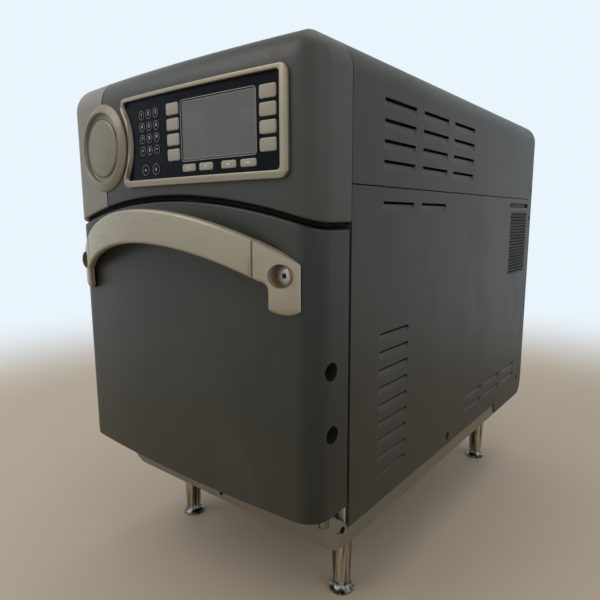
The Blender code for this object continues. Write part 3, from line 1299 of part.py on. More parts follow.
def make_blower():
    rear = SEAM_Y + CAVITY_DEPTH + LINER_WALL
    front = rear + BLOWER_FRONT_GAP
    axis = Matrix.Translation((0, front, BLOWER_Z)) @ Matrix.Rotation(-math.pi / 2, 4, "X")
    length = BLOWER_LENGTH
    wheel = turned(
        "blower_wheel",
        [
            (0, length + SHAFT_LENGTH), (SHAFT_RADIUS, length + SHAFT_LENGTH), (SHAFT_RADIUS, length),
            (BLOWER_RADIUS, length), (BLOWER_RADIUS, length - BLOWER_DISC),
            (BLOWER_HUB_RADIUS, length - BLOWER_DISC), (BLOWER_HUB_RADIUS, 0), (0, 0),
        ],
        axis, "galvanised", WHEEL_STEPS,
    )
    shape = bmesh.new()
    for i in range(BLOWER_BLADES):
        made = bmesh.ops.create_cube(shape, size=1)["verts"]
        size = (BLOWER_BLADE_LENGTH, BLOWER_BLADE_THICKNESS, length - BLOWER_DISC / 2)
        bmesh.ops.scale(shape, vec=size, verts=made)
        out = BLOWER_RADIUS - BLOWER_BLADE_LENGTH / 2 - BLOWER_BLADE_THICKNESS
        bmesh.ops.translate(shape, vec=(out, 0, (length - BLOWER_DISC / 2) / 2), verts=made)
        bmesh.ops.rotate(shape, matrix=Matrix.Rotation(2 * math.pi * i / BLOWER_BLADES, 3, "Z"), verts=made)
    combine(wheel, add_object("blower_blades", mesh_from(shape, "blower_blades"), None, axis), "UNION")
    motor_front = rear + SCROLL_LENGTH + FIT_GAP
    place = Matrix.Translation((0, motor_front, BLOWER_Z)) @ Matrix.Rotation(-math.pi / 2, 4, "X")
    bore = SHAFT_RADIUS + FIT_GAP
    turned(
        "blower_motor",
        [
            (0, MOTOR_LENGTH), (MOTOR_RADIUS, MOTOR_LENGTH), (MOTOR_RADIUS, MOTOR_FLANGE),
            (SCROLL_RADIUS + SCROLL_WALL, MOTOR_FLANGE), (SCROLL_RADIUS + SCROLL_WALL, 0), (bore, 0),
            (bore, MOTOR_BORE_LENGTH), (0, MOTOR_BORE_LENGTH),
        ],
        place, "galvanised", WHEEL_STEPS,
    )


def make_magnetron():
    half = MAGNETRON_WIDTH / 2
    low = CAVITY_HIGH_Z + LINER_WALL + FIT_GAP
    high = low + MAGNETRON_HEIGHT
    pitch = MAGNETRON_HEIGHT / (MAGNETRON_FINS + 1)
    right = [(half, low)]
    for i in range(MAGNETRON_FINS):
        z = low + (i + 1) * pitch
        half_fin = MAGNETRON_FIN_HEIGHT / 2
        right += [(half, z - half_fin), (half + MAGNETRON_FIN_REACH, z - half_fin),
                  (half + MAGNETRON_FIN_REACH, z + half_fin), (half, z + half_fin)]
    right.append((half, high))
    left = [(-x, z) for x, z in reversed(right)]
    outline = [(MAGNETRON_X + x, z) for x, z in right + left]
    front = SEAM_Y + MAGNETRON_DEPTH
    extruded("magnetron", [outline], "XZ", front, front + MAGNETRON_LENGTH, "galvanised")


def make_transformer():
    left = -SIDE_INNER_X + TRANSFORMER_MARGIN
    right = left + TRANSFORMER_WIDTH
    low = BASE_TOP_Z + FIT_GAP
    high = low + TRANSFORMER_HEIGHT
    middle = SEAM_Y + CAVITY_DEPTH + TRANSFORMER_GAP + COIL_LENGTH / 2
    core = box(
        "transformer", (left, middle - TRANSFORMER_LENGTH / 2, low),
        (right, middle + TRANSFORMER_LENGTH / 2, high), "copper_coil",
    )
    coil = box(
        "transformer_coil", (left + COIL_MARGIN, middle - COIL_LENGTH / 2, low + COIL_MARGIN),
        (right - COIL_MARGIN, middle + COIL_LENGTH / 2, high - COIL_MARGIN),
    )
    combine(core, coil, "UNION")


def make_cooling_fan():
    back = REAR_WEB_FRONT_Y - FAN_GAP
    place = Matrix.Translation((0, back, TOP_Z - FAN_DROP)) @ Matrix.Rotation(math.pi / 2, 4, "X")
    bore = FAN_PIN_RADIUS + FIT_GAP
    fan = turned(
        "cooling_fan",
        [
            (0, FAN_LENGTH + FAN_GAP), (FAN_HUB_RADIUS, FAN_LENGTH + FAN_GAP), (FAN_HUB_RADIUS, 0),
            (bore, 0), (bore, FAN_LENGTH), (0, FAN_LENGTH),
        ],
        place, "black_plastic", ROUND_STEPS,
    )
    shape = bmesh.new()
    for i in range(FAN_BLADES):
        made = bmesh.ops.create_cube(shape, size=1)["verts"]
        length = FAN_RADIUS - FAN_HUB_RADIUS / 2 - bore
        size = (length, FAN_LENGTH, FAN_BLADE_THICKNESS)
        bmesh.ops.scale(shape, vec=size, verts=made)
        bmesh.ops.rotate(shape, matrix=Matrix.Rotation(FAN_BLADE_PITCH, 3, "X"), verts=made)
        out = FAN_RADIUS - length / 2
        bmesh.ops.translate(shape, vec=(out, 0, (FAN_LENGTH + FAN_GAP) / 2), verts=made)
        bmesh.ops.rotate(shape, matrix=Matrix.Rotation(2 * math.pi * i / FAN_BLADES, 3, "Z"), verts=made)
    combine(fan, add_object("fan_blades", mesh_from(shape, "fan_blades"), None, place), "UNION")


clear_scene()
parts = make_collection("speed_oven")
cutters = make_collection("cutters")
make_finishes()
make_base()
make_legs()
make_side_panel(-1, "left")
make_side_panel(1, "right")
make_top_cover()
make_rear_panel()
make_console()
make_keypad()
make_control_board()
make_door_shell()
make_inner_frame()
make_handle()
make_cavity()
make_rack()
make_jet_plate()
make_blower()
make_magnetron()
make_transformer()
make_cooling_fan()
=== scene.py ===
# %% [markdown]
# # A countertop speed oven
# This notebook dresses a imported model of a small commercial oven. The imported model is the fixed
# frame: it says where every panel, key and leg is. Each cell below makes one piece of the real
# oven, or one of its finishes, and hangs it on that frame.

# %% The fixed frame
import math

import bmesh
import bpy
from mathutils import Matrix, Vector


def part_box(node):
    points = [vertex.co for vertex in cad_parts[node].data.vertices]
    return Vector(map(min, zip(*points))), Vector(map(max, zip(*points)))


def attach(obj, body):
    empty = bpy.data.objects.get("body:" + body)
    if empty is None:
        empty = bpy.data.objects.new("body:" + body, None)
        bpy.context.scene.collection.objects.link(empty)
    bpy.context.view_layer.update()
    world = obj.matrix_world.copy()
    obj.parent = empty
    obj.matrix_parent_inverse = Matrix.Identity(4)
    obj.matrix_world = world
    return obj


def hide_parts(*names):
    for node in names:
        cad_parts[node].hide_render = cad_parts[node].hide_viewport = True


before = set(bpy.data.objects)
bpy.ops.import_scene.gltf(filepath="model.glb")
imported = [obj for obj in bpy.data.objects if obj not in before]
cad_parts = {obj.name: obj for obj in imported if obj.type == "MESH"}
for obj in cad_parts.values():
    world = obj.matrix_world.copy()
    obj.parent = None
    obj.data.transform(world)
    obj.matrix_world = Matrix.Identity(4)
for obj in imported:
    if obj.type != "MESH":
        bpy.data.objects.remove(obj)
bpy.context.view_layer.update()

# %% [markdown]
# The camera comes first. Its place and lens were found by fitting a pinhole camera to the seams,
# louvres and legs that the photograph shows, so a piece of the right size lands on the right spot.

# %% Camera at the photograph's viewpoint
EYE = Vector((0.4823, -0.69687, 0.47467))
YAW = math.radians(38.46)
PITCH = math.radians(8.99)
ROLL = math.radians(-0.27)
SENSOR = 36.0
FOCAL_PIXELS = 516.52
FRAME_PIXELS = 600

forward = Vector((-math.sin(YAW) * math.cos(PITCH), math.cos(YAW) * math.cos(PITCH), -math.sin(PITCH)))
level = Vector((math.cos(YAW), math.sin(YAW), 0))
upright = level.cross(forward)
camera_x = math.cos(ROLL) * level + math.sin(ROLL) * upright
camera_y = math.cos(ROLL) * upright - math.sin(ROLL) * level

camera_data = bpy.data.cameras.new("photo_camera")
camera_data.sensor_width = SENSOR
camera_data.lens = FOCAL_PIXELS / FRAME_PIXELS * SENSOR
camera = bpy.data.objects.new("photo_camera", camera_data)
bpy.context.scene.collection.objects.link(camera)
turn = Matrix((camera_x, camera_y, -forward)).transposed().to_4x4()
camera.matrix_world = Matrix.Translation(EYE) @ turn
bpy.context.scene.camera = camera
bpy.context.scene.view_settings.view_transform = "Standard"
print(f"lens {camera_data.lens:.2f} mm")

# %% [markdown]
# The oven's main faces share a few sizes. The ones that the frame holds are read from it; the radii
# of the bowed front, its corners and its domed top are written here, because a bounding box
# doesn't give them.

# %% Driving sizes of the oven
cover_low, cover_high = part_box("top_cover")
rear_low, rear_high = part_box("rear_panel")
door_low, door_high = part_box("door_shell")
head_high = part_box("console_housing")[1]
HALF = cover_high.x
TOP = cover_high.z
PANEL_GAP = 0.0006
SEAM = cover_low.y - PANEL_GAP
REAR = rear_high.y
FRONT = door_low.y
BOW = 2.123
CORNER = 0.0263
LEAST_CORNER = 0.003
DOME = 0.033
ARCH = 0.705
ARCH_MID = TOP - 0.1452
ARCH_CENTRE = ARCH_MID - ARCH
DOOR_ARCH = ARCH - 0.0063
BOW_CENTRE = FRONT + BOW
CASE_SEAM = TOP - 0.1377
BASE_TOP = 0.144
SHEET = 0.0015
QUARTER = math.pi / 2
SIDES = ((1, "right"), (-1, "left"))
print(f"width {2 * HALF:.3f}, seam at {SEAM:.3f}, front at {FRONT:.3f}, top at {TOP:.4f}")

# %% [markdown]
# Small helpers come next. The front of the oven is one curve seen from above: a shallow bow with
# tight corners. Rows of that curve, stacked with different insets, make the door and the head.

# %% Outlines


def arc(centre, radius, start, end, steps):
    """Points on an arc, with its angles in radians."""
    angles = [start + (end - start) * i / steps for i in range(steps + 1)]
    return [(centre[0] + radius * math.cos(a), centre[1] + radius * math.sin(a)) for a in angles]


def full_circle(centre, radius, steps):
    return arc(centre, radius, 0, math.tau, steps)[:-1]


def rectangle(low, high):
    return [(low[0], low[1]), (high[0], low[1]), (high[0], high[1]), (low[0], high[1])]


def rounded(low, high, radius, steps=6):
    """A rectangle with rounded corners, anticlockwise."""
    corners = ((low[0], low[1], 2), (high[0], low[1], 3), (high[0], high[1], 0), (low[0], high[1], 1))
    points = []
    for x, y, turns in corners:
        across = 1 if turns in (1, 2) else -1
        up = 1 if turns in (2, 3) else -1
        centre = (x + radius * across, y + radius * up)
        points += arc(centre, radius, turns * QUARTER, (turns + 1) * QUARTER, steps)
    return points


def front_plan(inset, back, size=CORNER, corner_steps=12, bow_steps=48):
    """The bowed front from above, from its right back corner round to its left one."""
    half = HALF - inset
    bow = BOW - inset
    corner = max(size - inset, LEAST_CORNER)
    centre_x = half - corner
    centre_y = BOW_CENTRE - math.sqrt((bow - corner) ** 2 - centre_x ** 2)
    end = math.atan2(centre_y - BOW_CENTRE, centre_x)
    right = [(half, back)] + arc((centre_x, centre_y), corner, 0, end, corner_steps)
    left = [(-x, y) for x, y in reversed(right)]
    return right + arc((0, BOW_CENTRE), bow, end, -math.pi - end, bow_steps)[1:-1] + left


def bow_y(x):
    """Depth of the bowed front at x."""
    return BOW_CENTRE - math.sqrt(BOW ** 2 - x ** 2)


def arch_z(x, radius=ARCH):
    return ARCH_CENTRE + math.sqrt(radius ** 2 - x ** 2)


def case_section(inset, low_z, levels=(), steps=16):
    """Section across the case, from its right foot over the top to its left foot."""
    half = HALF - inset
    side = [(half, z) for z in sorted({low_z, *levels})]
    right = side + arc((HALF - DOME, TOP - DOME), DOME - inset, 0, QUARTER, steps)
    return right + [(-x, z) for x, z in reversed(right)]


print(f"the front stands {bow_y(HALF) - bow_y(0):.4f} m further forward in its middle")

# %% [markdown]
# Every finished piece goes through one function. It gives the piece its finish, shades its curved
# faces smooth while its real edges stay crisp, and makes it ride on a body of the frame.

# %% Making and finishing pieces
MERGE = 1e-6


def add_piece(name, mesh):
    item = bpy.data.objects.new(name, mesh)
    bpy.context.scene.collection.objects.link(item)
    return item


def piece_of(name, shape):
    """A piece from a shape that was built point by point."""
    mesh = bpy.data.meshes.new(name)
    shape.to_mesh(mesh)
    shape.free()
    return add_piece(name, mesh)


def opened(item):
    """A piece's mesh, opened for work on its points and edges."""
    shape = bmesh.new()
    shape.from_mesh(item.data)
    return shape


def closed(item, shape):
    """Gives the worked shape back to its piece."""
    shape.to_mesh(item.data)
    shape.free()
    return item


def applied(item):
    """Turns what the modifiers make into the piece's own mesh."""
    bpy.context.view_layer.update()
    graph = bpy.context.evaluated_depsgraph_get()
    mesh = bpy.data.meshes.new_from_object(item.evaluated_get(graph))
    old = item.data
    if item.type == "MESH":
        item.modifiers.clear()
        item.data = mesh
        return item
    name = item.name
    bpy.data.objects.remove(item)
    bpy.data.curves.remove(old)
    return add_piece(name, mesh)


def settle(item, finish, body="oven", nodes=(), crisp=32):
    """Gives a piece its finish and shading, and hangs it on the frame."""
    mesh = item.data
    mesh.materials.clear()
    mesh.materials.append(finish)
    for face in mesh.polygons:
        face.use_smooth = True
        face.material_index = 0
    mesh.set_sharp_from_angle(angle=math.radians(crisp))
    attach(item, body)
    if nodes:
        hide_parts(*nodes)
    print(f"{item.name}: {len(mesh.polygons)} faces on {body}")
    return item


# %% [markdown]
# A flat piece is drawn face up and then turned to look the way that it faces on the oven. A curved
# one is a skin through rows of points, and gets the thickness of its sheet afterwards.

# %% Places, skins and cuts


def facing(normal, point=(0, 0, 0)):
    """A matrix whose Z looks along the normal, with Y as upright as it can be."""
    normal = Vector(normal).normalized()
    across = Vector((0, 0, 1)).cross(normal)
    if across.length < MERGE:
        across = Vector((1, 0, 0))
    across.normalize()
    turned = Matrix((across, normal.cross(across), normal)).transposed().to_4x4()
    return Matrix.Translation(point) @ turned


def to_front(y=0.0, x=0.0, z=0.0):
    """A place that looks forward, at the person at the door."""
    return facing((0, -1, 0), (x, y, z))


def to_side(side, out, y=0.0, z=0.0):
    """A place this far out from the middle, which looks out to one side."""
    return facing((side, 0, 0), (side * out, y, z))


def skin(rows, back=None, cap_low=False, cap_high=False, ring=False):
    """A surface through rows of points; a cap runs from an end row straight to the back."""
    shape = bmesh.new()
    grid = [[shape.verts.new(point) for point in row] for row in rows]
    if cap_low:
        grid.insert(0, [shape.verts.new((v.co.x, back, v.co.z)) for v in grid[0]])
    if cap_high:
        grid.append([shape.verts.new((v.co.x, back, v.co.z)) for v in grid[-1]])
    count = len(grid[0])
    for lower, upper in zip(grid, grid[1:]):
        for i in range(count if ring else count - 1):
            j = (i + 1) % count
            shape.faces.new((lower[i], upper[i], upper[j], lower[j]))
    bmesh.ops.remove_doubles(shape, verts=shape.verts, dist=MERGE)
    bmesh.ops.dissolve_degenerate(shape, edges=shape.edges, dist=MERGE)
    return shape


def sliced(shape, point, normal, dist=MERGE * 10, **more):
    """Adds the edges where a plane crosses a shape, or clears what lies behind it."""
    bmesh.ops.bisect_plane(shape, geom=shape.verts[:] + shape.edges[:] + shape.faces[:],
                           plane_co=point, plane_no=normal, dist=dist, **more)


def in_strips(shape, step, least=0):
    """Slices a shape across its width, so that it can be bent."""
    low = min(v.co.x for v in shape.verts)
    high = max(v.co.x for v in shape.verts)
    count = max(least, int((high - low) / step))
    for i in range(1, count):
        sliced(shape, (low + (high - low) * i / count, 0, 0), (1, 0, 0))


def walled(item, thickness):
    """Gives an open skin its sheet thickness, on the inner side."""
    wall = item.modifiers.new("wall", "SOLIDIFY")
    wall.thickness = thickness
    wall.offset = -1
    return applied(item)


def cut(item, tool):
    """Takes the tool's form out of a piece, and the tool away."""
    step = item.modifiers.new("cut", "BOOLEAN")
    step.operation = "DIFFERENCE"
    step.solver = "EXACT"
    step.object = tool
    applied(item)
    bpy.data.objects.remove(tool)
    return item


def soft(item, width, steps=2, angle=40):
    """Rounds the sharp edges of a piece."""
    bevel = item.modifiers.new("edges", "BEVEL")
    bevel.width = width
    bevel.segments = steps
    bevel.limit_method = "ANGLE"
    bevel.angle_limit = math.radians(angle)
    return applied(item)


# %% [markdown]
# Four simple forms make most of the pieces: a flat plate cut from an outline, a block, a round rod
# that works as a drill, and a form turned about its axis as on a lathe.

# %% Plates, blocks, rods and turned forms


def plate(name, outlines, thickness, place, edge=0.0):
    """A flat plate whose face lies at the place, looking along its Z. Later outlines are holes."""
    drawing = bpy.data.curves.new(name, "CURVE")
    drawing.dimensions = "2D"
    drawing.fill_mode = "BOTH"
    drawing.extrude = thickness / 2
    for outline in outlines:
        line = drawing.splines.new("POLY")
        line.points.add(len(outline) - 1)
        for point, (across, up) in zip(line.points, outline):
            point.co = (across, up, 0, 1)
        line.use_cyclic_u = True
    item = applied(add_piece(name, drawing))
    shape = opened(item)
    bmesh.ops.remove_doubles(shape, verts=shape.verts, dist=MERGE * 10)
    bmesh.ops.dissolve_limit(shape, angle_limit=math.radians(0.1), verts=shape.verts, edges=shape.edges)
    bmesh.ops.recalc_face_normals(shape, faces=shape.faces)
    closed(item, shape)
    if edge:
        item = soft(item, edge)
    item.data.transform(place @ Matrix.Translation((0, 0, -thickness / 2)))
    return item


def block(name, low, high, edge=0.0):
    shape = bmesh.new()
    bmesh.ops.create_cube(shape, size=1)
    bmesh.ops.scale(shape, vec=Vector(high) - Vector(low), verts=shape.verts)
    bmesh.ops.translate(shape, vec=(Vector(high) + Vector(low)) / 2, verts=shape.verts)
    item = piece_of(name, shape)
    return soft(item, edge) if edge else item


def side_block(name, side, near, far, low, high, edge=0.0):
    """A block on one side of the oven. It lies between two distances from the middle, and its low and
    high corners are given as (y, z)."""
    xs = sorted((side * near, side * far))
    return block(name, (xs[0], *low), (xs[1], *high), edge)


def rod(name, start, end, radius, steps=32):
    """A plain round bar between two points, used as a drill."""
    start, end = Vector(start), Vector(end)
    shape = bmesh.new()
    bmesh.ops.create_cone(
        shape, cap_ends=True, segments=steps, radius1=radius, radius2=radius, depth=(end - start).length
    )
    turned = (end - start).to_track_quat("Z", "Y").to_matrix().to_4x4()
    shape.transform(Matrix.Translation((start + end) / 2) @ turned)
    return piece_of(name, shape)


def side_drilled(item, holes, reach):
    """Drills holes, given as (y, z, radius), into both sides of a piece."""
    for side in (-1, 1):
        for y, z, radius in holes:
            ends = [(side * (HALF + x), y, z) for x in (-reach, reach)]
            cut(item, rod("drill", *ends, radius))


def lathe(name, profile, place, steps=48):
    """Turns a profile of (radius, height) points about the place's Z axis, top to bottom."""
    shape = bmesh.new()
    rings = []
    for radius, height in profile:
        count = 1 if radius < MERGE else steps
        ring = [shape.verts.new((radius * math.cos(math.tau * i / steps),
                                 radius * math.sin(math.tau * i / steps), height)) for i in range(count)]
        rings.append(ring)
    for upper, lower in zip(rings, rings[1:]):
        for i in range(steps):
            j = (i + 1) % steps
            corners = [row[k % len(row)] for row, k in ((upper, i), (lower, i), (lower, j), (upper, j))]
            face = [v for k, v in enumerate(corners) if v not in corners[:k]]
            if len(face) > 2:
                shape.faces.new(face)
    shape.transform(place)
    return piece_of(name, shape)


def bent_to_bow(item):
    """Lays a flat piece, made at y = 0, on the oven's bowed front."""
    shape = opened(item)
    in_strips(shape, 0.006)
    for v in shape.verts:
        v.co.y += bow_y(v.co.x)
    return closed(item, shape)


# %% [markdown]
# Finishes are built from nodes. The first class wraps a socket, so that a sum such as
# 0.4 + 0.1 * grain can be written as it is read, and each operator adds its Math node. The others
# add nodes to a tree and feed their sockets.

# %% Shader maths


class Value:
    """A socket that adds Math nodes when it is used in a sum."""

    def __init__(self, tree, socket):
        self.tree = tree
        self.socket = socket

    def maths(self, operation, first, second):
        node = self.tree.nodes.new("ShaderNodeMath")
        node.operation = operation
        for slot, item in zip(node.inputs, (first, second)):
            if isinstance(item, Value):
                self.tree.links.new(item.socket, slot)
            else:
                slot.default_value = item
        return Value(self.tree, node.outputs[0])

    def __add__(self, other):
        return self.maths("ADD", self, other)

    def __mul__(self, other):
        return self.maths("MULTIPLY", self, other)

    def __sub__(self, other):
        return self.maths("SUBTRACT", self, other)

    def __rsub__(self, other):
        return self.maths("SUBTRACT", other, self)

    def __truediv__(self, other):
        return self.maths("DIVIDE", self, other)

    def __mod__(self, other):
        return self.maths("MODULO", self, other)

    def whole(self):
        return self.maths("ROUND", self, 0.0)

    __radd__ = __add__
    __rmul__ = __mul__


class Nodes:
    """A node tree under construction."""

    def __init__(self, tree):
        self.tree = tree

    def feed(self, socket, value):
        if isinstance(value, Value):
            self.tree.links.new(value.socket, socket)
        else:
            socket.default_value = (*value, 1) if socket.type == "RGBA" and len(value) == 3 else value

    def add(self, kind, settings=(), output=0, **sockets):
        """Any node: its settings first, then the values or links of its sockets. A socket is called by
        its name, or by an underscore and its number."""
        node = self.tree.nodes.new(kind)
        for name, value in dict(settings).items():
            setattr(node, name, value)
        for name, value in sockets.items():
            key = int(name[1:]) if name[0] == "_" else name.replace("_", " ")
            self.feed(node.inputs[key], value)
        return Value(self.tree, node.outputs[output])


class Shades(Nodes):
    """A shader tree under construction."""

    def add(self, kind, settings=(), output=0, **sockets):
        return super().add(f"ShaderNode{kind}", settings, output, **sockets)

    def step(self, value, low, high):
        """0 below low, 1 above high, smooth between."""
        return self.add("MapRange", {"interpolation_type": "SMOOTHSTEP"}, Value=value, From_Min=low,
                        From_Max=high)

    def mix(self, factor, first, second):
        return self.add("Mix", {"data_type": "RGBA"}, 2, _0=factor, _6=first, _7=second)

    def seen(self):
        """1 for a ray from the camera or from something shiny, 0 for light that only fills in."""
        rays = ("Camera", "Glossy", "Transmission")
        return sum(self.add("LightPath", output=f"Is {ray} Ray") for ray in rays)


def toned(colour, share):
    """A colour made darker or lighter."""
    return tuple(share * c for c in colour)


class Finish(Shades):
    """A material under construction, with the Principled shader that it ends in."""

    def __init__(self, name, **look):
        self.material = bpy.data.materials.new(name)
        self.material.use_nodes = True
        super().__init__(self.material.node_tree)
        self.shader = self.tree.nodes["Principled BSDF"]
        self.place = self.add("TexCoord", output="Object")
        self.look(**look)

    def look(self, **sockets):
        for name, value in sockets.items():
            self.feed(self.shader.inputs[name.replace("_", " ")], value)

    def noise(self, scale, detail=3.0, stretch=(1, 1, 1), distortion=0.0):
        stretched = self.add("Mapping", Vector=self.place, Scale=stretch)
        return self.add("TexNoise", Vector=stretched, Scale=scale, Detail=detail, Distortion=distortion)

    def away(self, point, stretch=(1, 1, 1)):
        """How far a place on the surface is from a point of the object."""
        moved = self.add("Mapping", Vector=self.place, Scale=stretch,
                         Location=[-c * s for c, s in zip(point, stretch)])
        return self.add("VectorMath", {"operation": "LENGTH"}, output="Value", Vector=moved)

    def near(self, point, reach):
        """1 at a point of the object, falling to 0 at the reach."""
        return 1 - self.step(self.away(point), 0.0, reach)

    def bump(self, height, strength, distance=0.001):
        self.look(Normal=self.add("Bump", Height=height, Strength=strength, Distance=distance))


# %% [markdown]
# The case is steel with a warm grey baked paint. Up close the paint has a fine orange-peel grain;
# from a step away it shows faint smears of wiped grease and dust, and a few pale specks.

# %% Grey baked paint
WORN_SPOT = (HALF - 0.03, SEAM - 0.05, TOP - 0.012)


def grey_paint(name, dark, light, shine=0.36, gloss=0.3, painted_edge_shade=0.0):
    finish = Finish(name, Specular_IOR_Level=gloss)
    cloud = finish.noise(7, 4, (1, 1, 0.6), 0.3)
    smear = finish.step(finish.noise(13, 4, (1.3, 1.3, 0.7), 0.5), 0.5, 0.85)
    grain = finish.noise(1500, 2)
    speck = finish.step(finish.noise(460, 1), 0.77, 0.8) * finish.step(finish.noise(11, 2), 0.5, 0.62)
    worn = finish.step(finish.noise(85, 4, (1, 1, 1), 0.4), 0.54, 0.6) * finish.near(WORN_SPOT, 0.05)
    colour = finish.mix(finish.step(cloud, 0.3, 0.7), dark, light)
    colour = finish.mix(smear * 0.1, colour, (0.13, 0.125, 0.11))
    colour = finish.mix(speck * 0.4, colour, (0.2, 0.19, 0.16))
    colour = finish.mix(worn * 0.5, colour, (0.1, 0.065, 0.035))
    # Painted shade: the colour darkens towards both side edges of the piece.
    if painted_edge_shade:
        edge = finish.step(finish.away((0, 0, 0), (1, 0, 0)), HALF - 0.024, HALF - 0.01)
        colour = finish.mix(edge * painted_edge_shade, colour, (0.008, 0.008, 0.0065))
    finish.look(Base_Color=colour, Roughness=shine + smear * 0.1 + grain * 0.06 + worn * 0.15)
    finish.bump(grain + speck * 0.4, 0.1, 0.0003)
    return finish.material


case_paint = grey_paint("case_paint", (0.0302, 0.0282, 0.0214), (0.0378, 0.0355, 0.0275), 0.38, 0.2)
grille_paint = grey_paint("grille_paint", (0.02, 0.019, 0.0155), (0.026, 0.0245, 0.02), 0.42, 0.15)
# A darker copy of the case paint for the wall behind the grille and the strip in the slot: painted shade.
duct_paint = grey_paint("duct_paint", (0.014, 0.0135, 0.011), (0.019, 0.018, 0.0145), 0.45, 0.15)
# The head's paint is a lighter copy of the case paint: painted light on the head.
head_paint = grey_paint("head_paint", (0.0395, 0.0385, 0.0325), (0.0485, 0.0472, 0.0405))
door_paint = grey_paint("door_paint", (0.028, 0.0278, 0.0205), (0.0345, 0.034, 0.0255), painted_edge_shade=0.55)
print("paints:", case_paint.name, grille_paint.name, duct_paint.name, head_paint.name, door_paint.name)

# %% [markdown]
# The handle, badge and bezel are metal with a satin champagne coat. The coat holds tiny metal
# flakes, so it is given a metallic value with a fine, soft grain, and a few rubbed marks.

# %% Champagne coat


def champagne(name, colour, rough, shade=None):
    finish = Finish(name, Metallic=0.42)
    flake = finish.noise(2600, 2)
    rub = finish.step(finish.noise(24, 5, (1, 1, 3), 0.8), 0.52, 0.75)
    tone = finish.mix(flake, toned(colour, 0.88), toned(colour, 1.1))
    tone = finish.mix(rub * 0.3, tone, toned(colour, 0.78))
    # An optional mask darkens the coat where it reaches: painted shade.
    if shade:
        tone = finish.mix(shade(finish) * 0.8, tone, toned(colour, 0.3))
    finish.look(Base_Color=tone, Roughness=rough + rub * 0.12 + flake * 0.06)
    finish.bump(flake, 0.06, 0.0002)
    return finish.material


champagne_coat = champagne("champagne_coat", (0.322, 0.28, 0.203), 0.34)
cap_coat = champagne("cap_coat", (0.203, 0.174, 0.137), 0.36)
badge_coat = champagne("badge_coat", (0.192, 0.161, 0.115), 0.33)
# A darker, browner copy of the champagne coat for the inside of the handle's bores: painted shade.
bore_coat = champagne("bore_coat", (0.22, 0.16, 0.1), 0.42)
print("coats:", champagne_coat.name, cap_coat.name, badge_coat.name, bore_coat.name)

# %% [markdown]
# Stainless sheet is brushed along its length. Noise that is stretched one way gives the brushed
# lines, and a slower noise gives fingerprints and dull patches.

# %% Steel finishes


def brushed(name, colour, stretch, rough=0.3, stain=(0.3, 0.25, 0.17), stain_share=0.25,
            swing=(0.82, 1.12), metal=1.0, reflection_bands=False):
    """Brushed steel. Its lines swing between a darker and a lighter tone; with reflection bands they
    become sharp bands, which are painted reflections.
    """
    finish = Finish(name, Metallic=metal)
    lines = finish.noise(1, 4, stretch)
    if reflection_bands:
        lines = finish.step(lines, 0.38, 0.62)
    print_marks = finish.step(finish.noise(30, 5, (1, 1, 1), 0.9), 0.45, 0.8)
    tone = finish.mix(lines, toned(colour, swing[0]), toned(colour, swing[1]))
    tone = finish.mix(print_marks * stain_share, tone, stain)
    finish.look(Base_Color=tone, Roughness=rough + lines * 0.1 + print_marks * 0.15)
    finish.bump(lines, 0.1, 0.0002)
    return finish.material


LENGTHWAYS = (14, 14, 1900)
UPRIGHT = (1900, 14, 14)
FINE = (60, 60, 60)
DRAWN = (190, 190, 9)
base_steel = brushed("base_steel", (0.236, 0.218, 0.184), LENGTHWAYS, 0.38)
tab_steel = brushed("tab_steel", (0.5, 0.46, 0.39), LENGTHWAYS, 0.5, metal=0.35)
polished_steel = brushed("polished_steel", (0.55, 0.53, 0.47), FINE, 0.14, (0.24, 0.2, 0.12), 0.45)
# Legs and feet: drawn lines along their length, swung from dark to bright in sharp bands as painted
# reflections.
leg_steel = brushed("leg_steel", (0.4, 0.365, 0.28), DRAWN, 0.12, (0.12, 0.095, 0.04), 0.3,
                    (0.2, 1.6), reflection_bands=True)
foot_steel = brushed("foot_steel", (0.19, 0.185, 0.16), DRAWN, 0.22, (0.05, 0.045, 0.03), 0.5,
                     (0.2, 1.4), reflection_bands=True)
frame_steel = brushed("frame_steel", (0.24, 0.225, 0.19), UPRIGHT, 0.36, (0.1, 0.07, 0.03), 0.4)
screw_steel = brushed("screw_steel", (0.4, 0.39, 0.365), FINE, 0.34, metal=0.55)
cavity_steel = brushed("cavity_steel", (0.48, 0.44, 0.37), UPRIGHT, 0.34, (0.24, 0.15, 0.06), 0.5)
galvanised = brushed("galvanised", (0.52, 0.54, 0.55), FINE, 0.42, (0.7, 0.72, 0.73), 0.4)
dark_screw = brushed("dark_screw", (0.016, 0.016, 0.016), FINE, 0.5, (0.008, 0.008, 0.008), 0.3)
print("materials in the file, with the steels:", len(bpy.data.materials))

# %% [markdown]
# The console's face is a printed film over dark blue-black, with moulded keys and a grey window.

# %% Plastics, film and rubber


def plastic(name, colour, rough, grain_size=900, bump=0.08, dust=0.0, gloss=0.5):
    finish = Finish(name, Specular_IOR_Level=gloss)
    grain = finish.noise(grain_size, 2)
    cloud = finish.step(finish.noise(40, 5, (1, 1, 1), 0.7), 0.45, 0.75)
    tone = finish.mix(grain, toned(colour, 0.9), toned(colour, 1.1))
    tone = finish.mix(cloud * dust, tone, (0.3, 0.29, 0.26))
    finish.look(Base_Color=tone, Roughness=rough + cloud * 0.1)
    finish.bump(grain, bump, 0.0002)
    return finish.material


keypad_film = plastic("keypad_film", (0.0022, 0.0032, 0.006), 0.3, 1300, 0.07, 0.015, 0.07)
key_plastic = plastic("key_plastic", (0.29, 0.25, 0.2), 0.4, 1600, 0.05, 0.1)
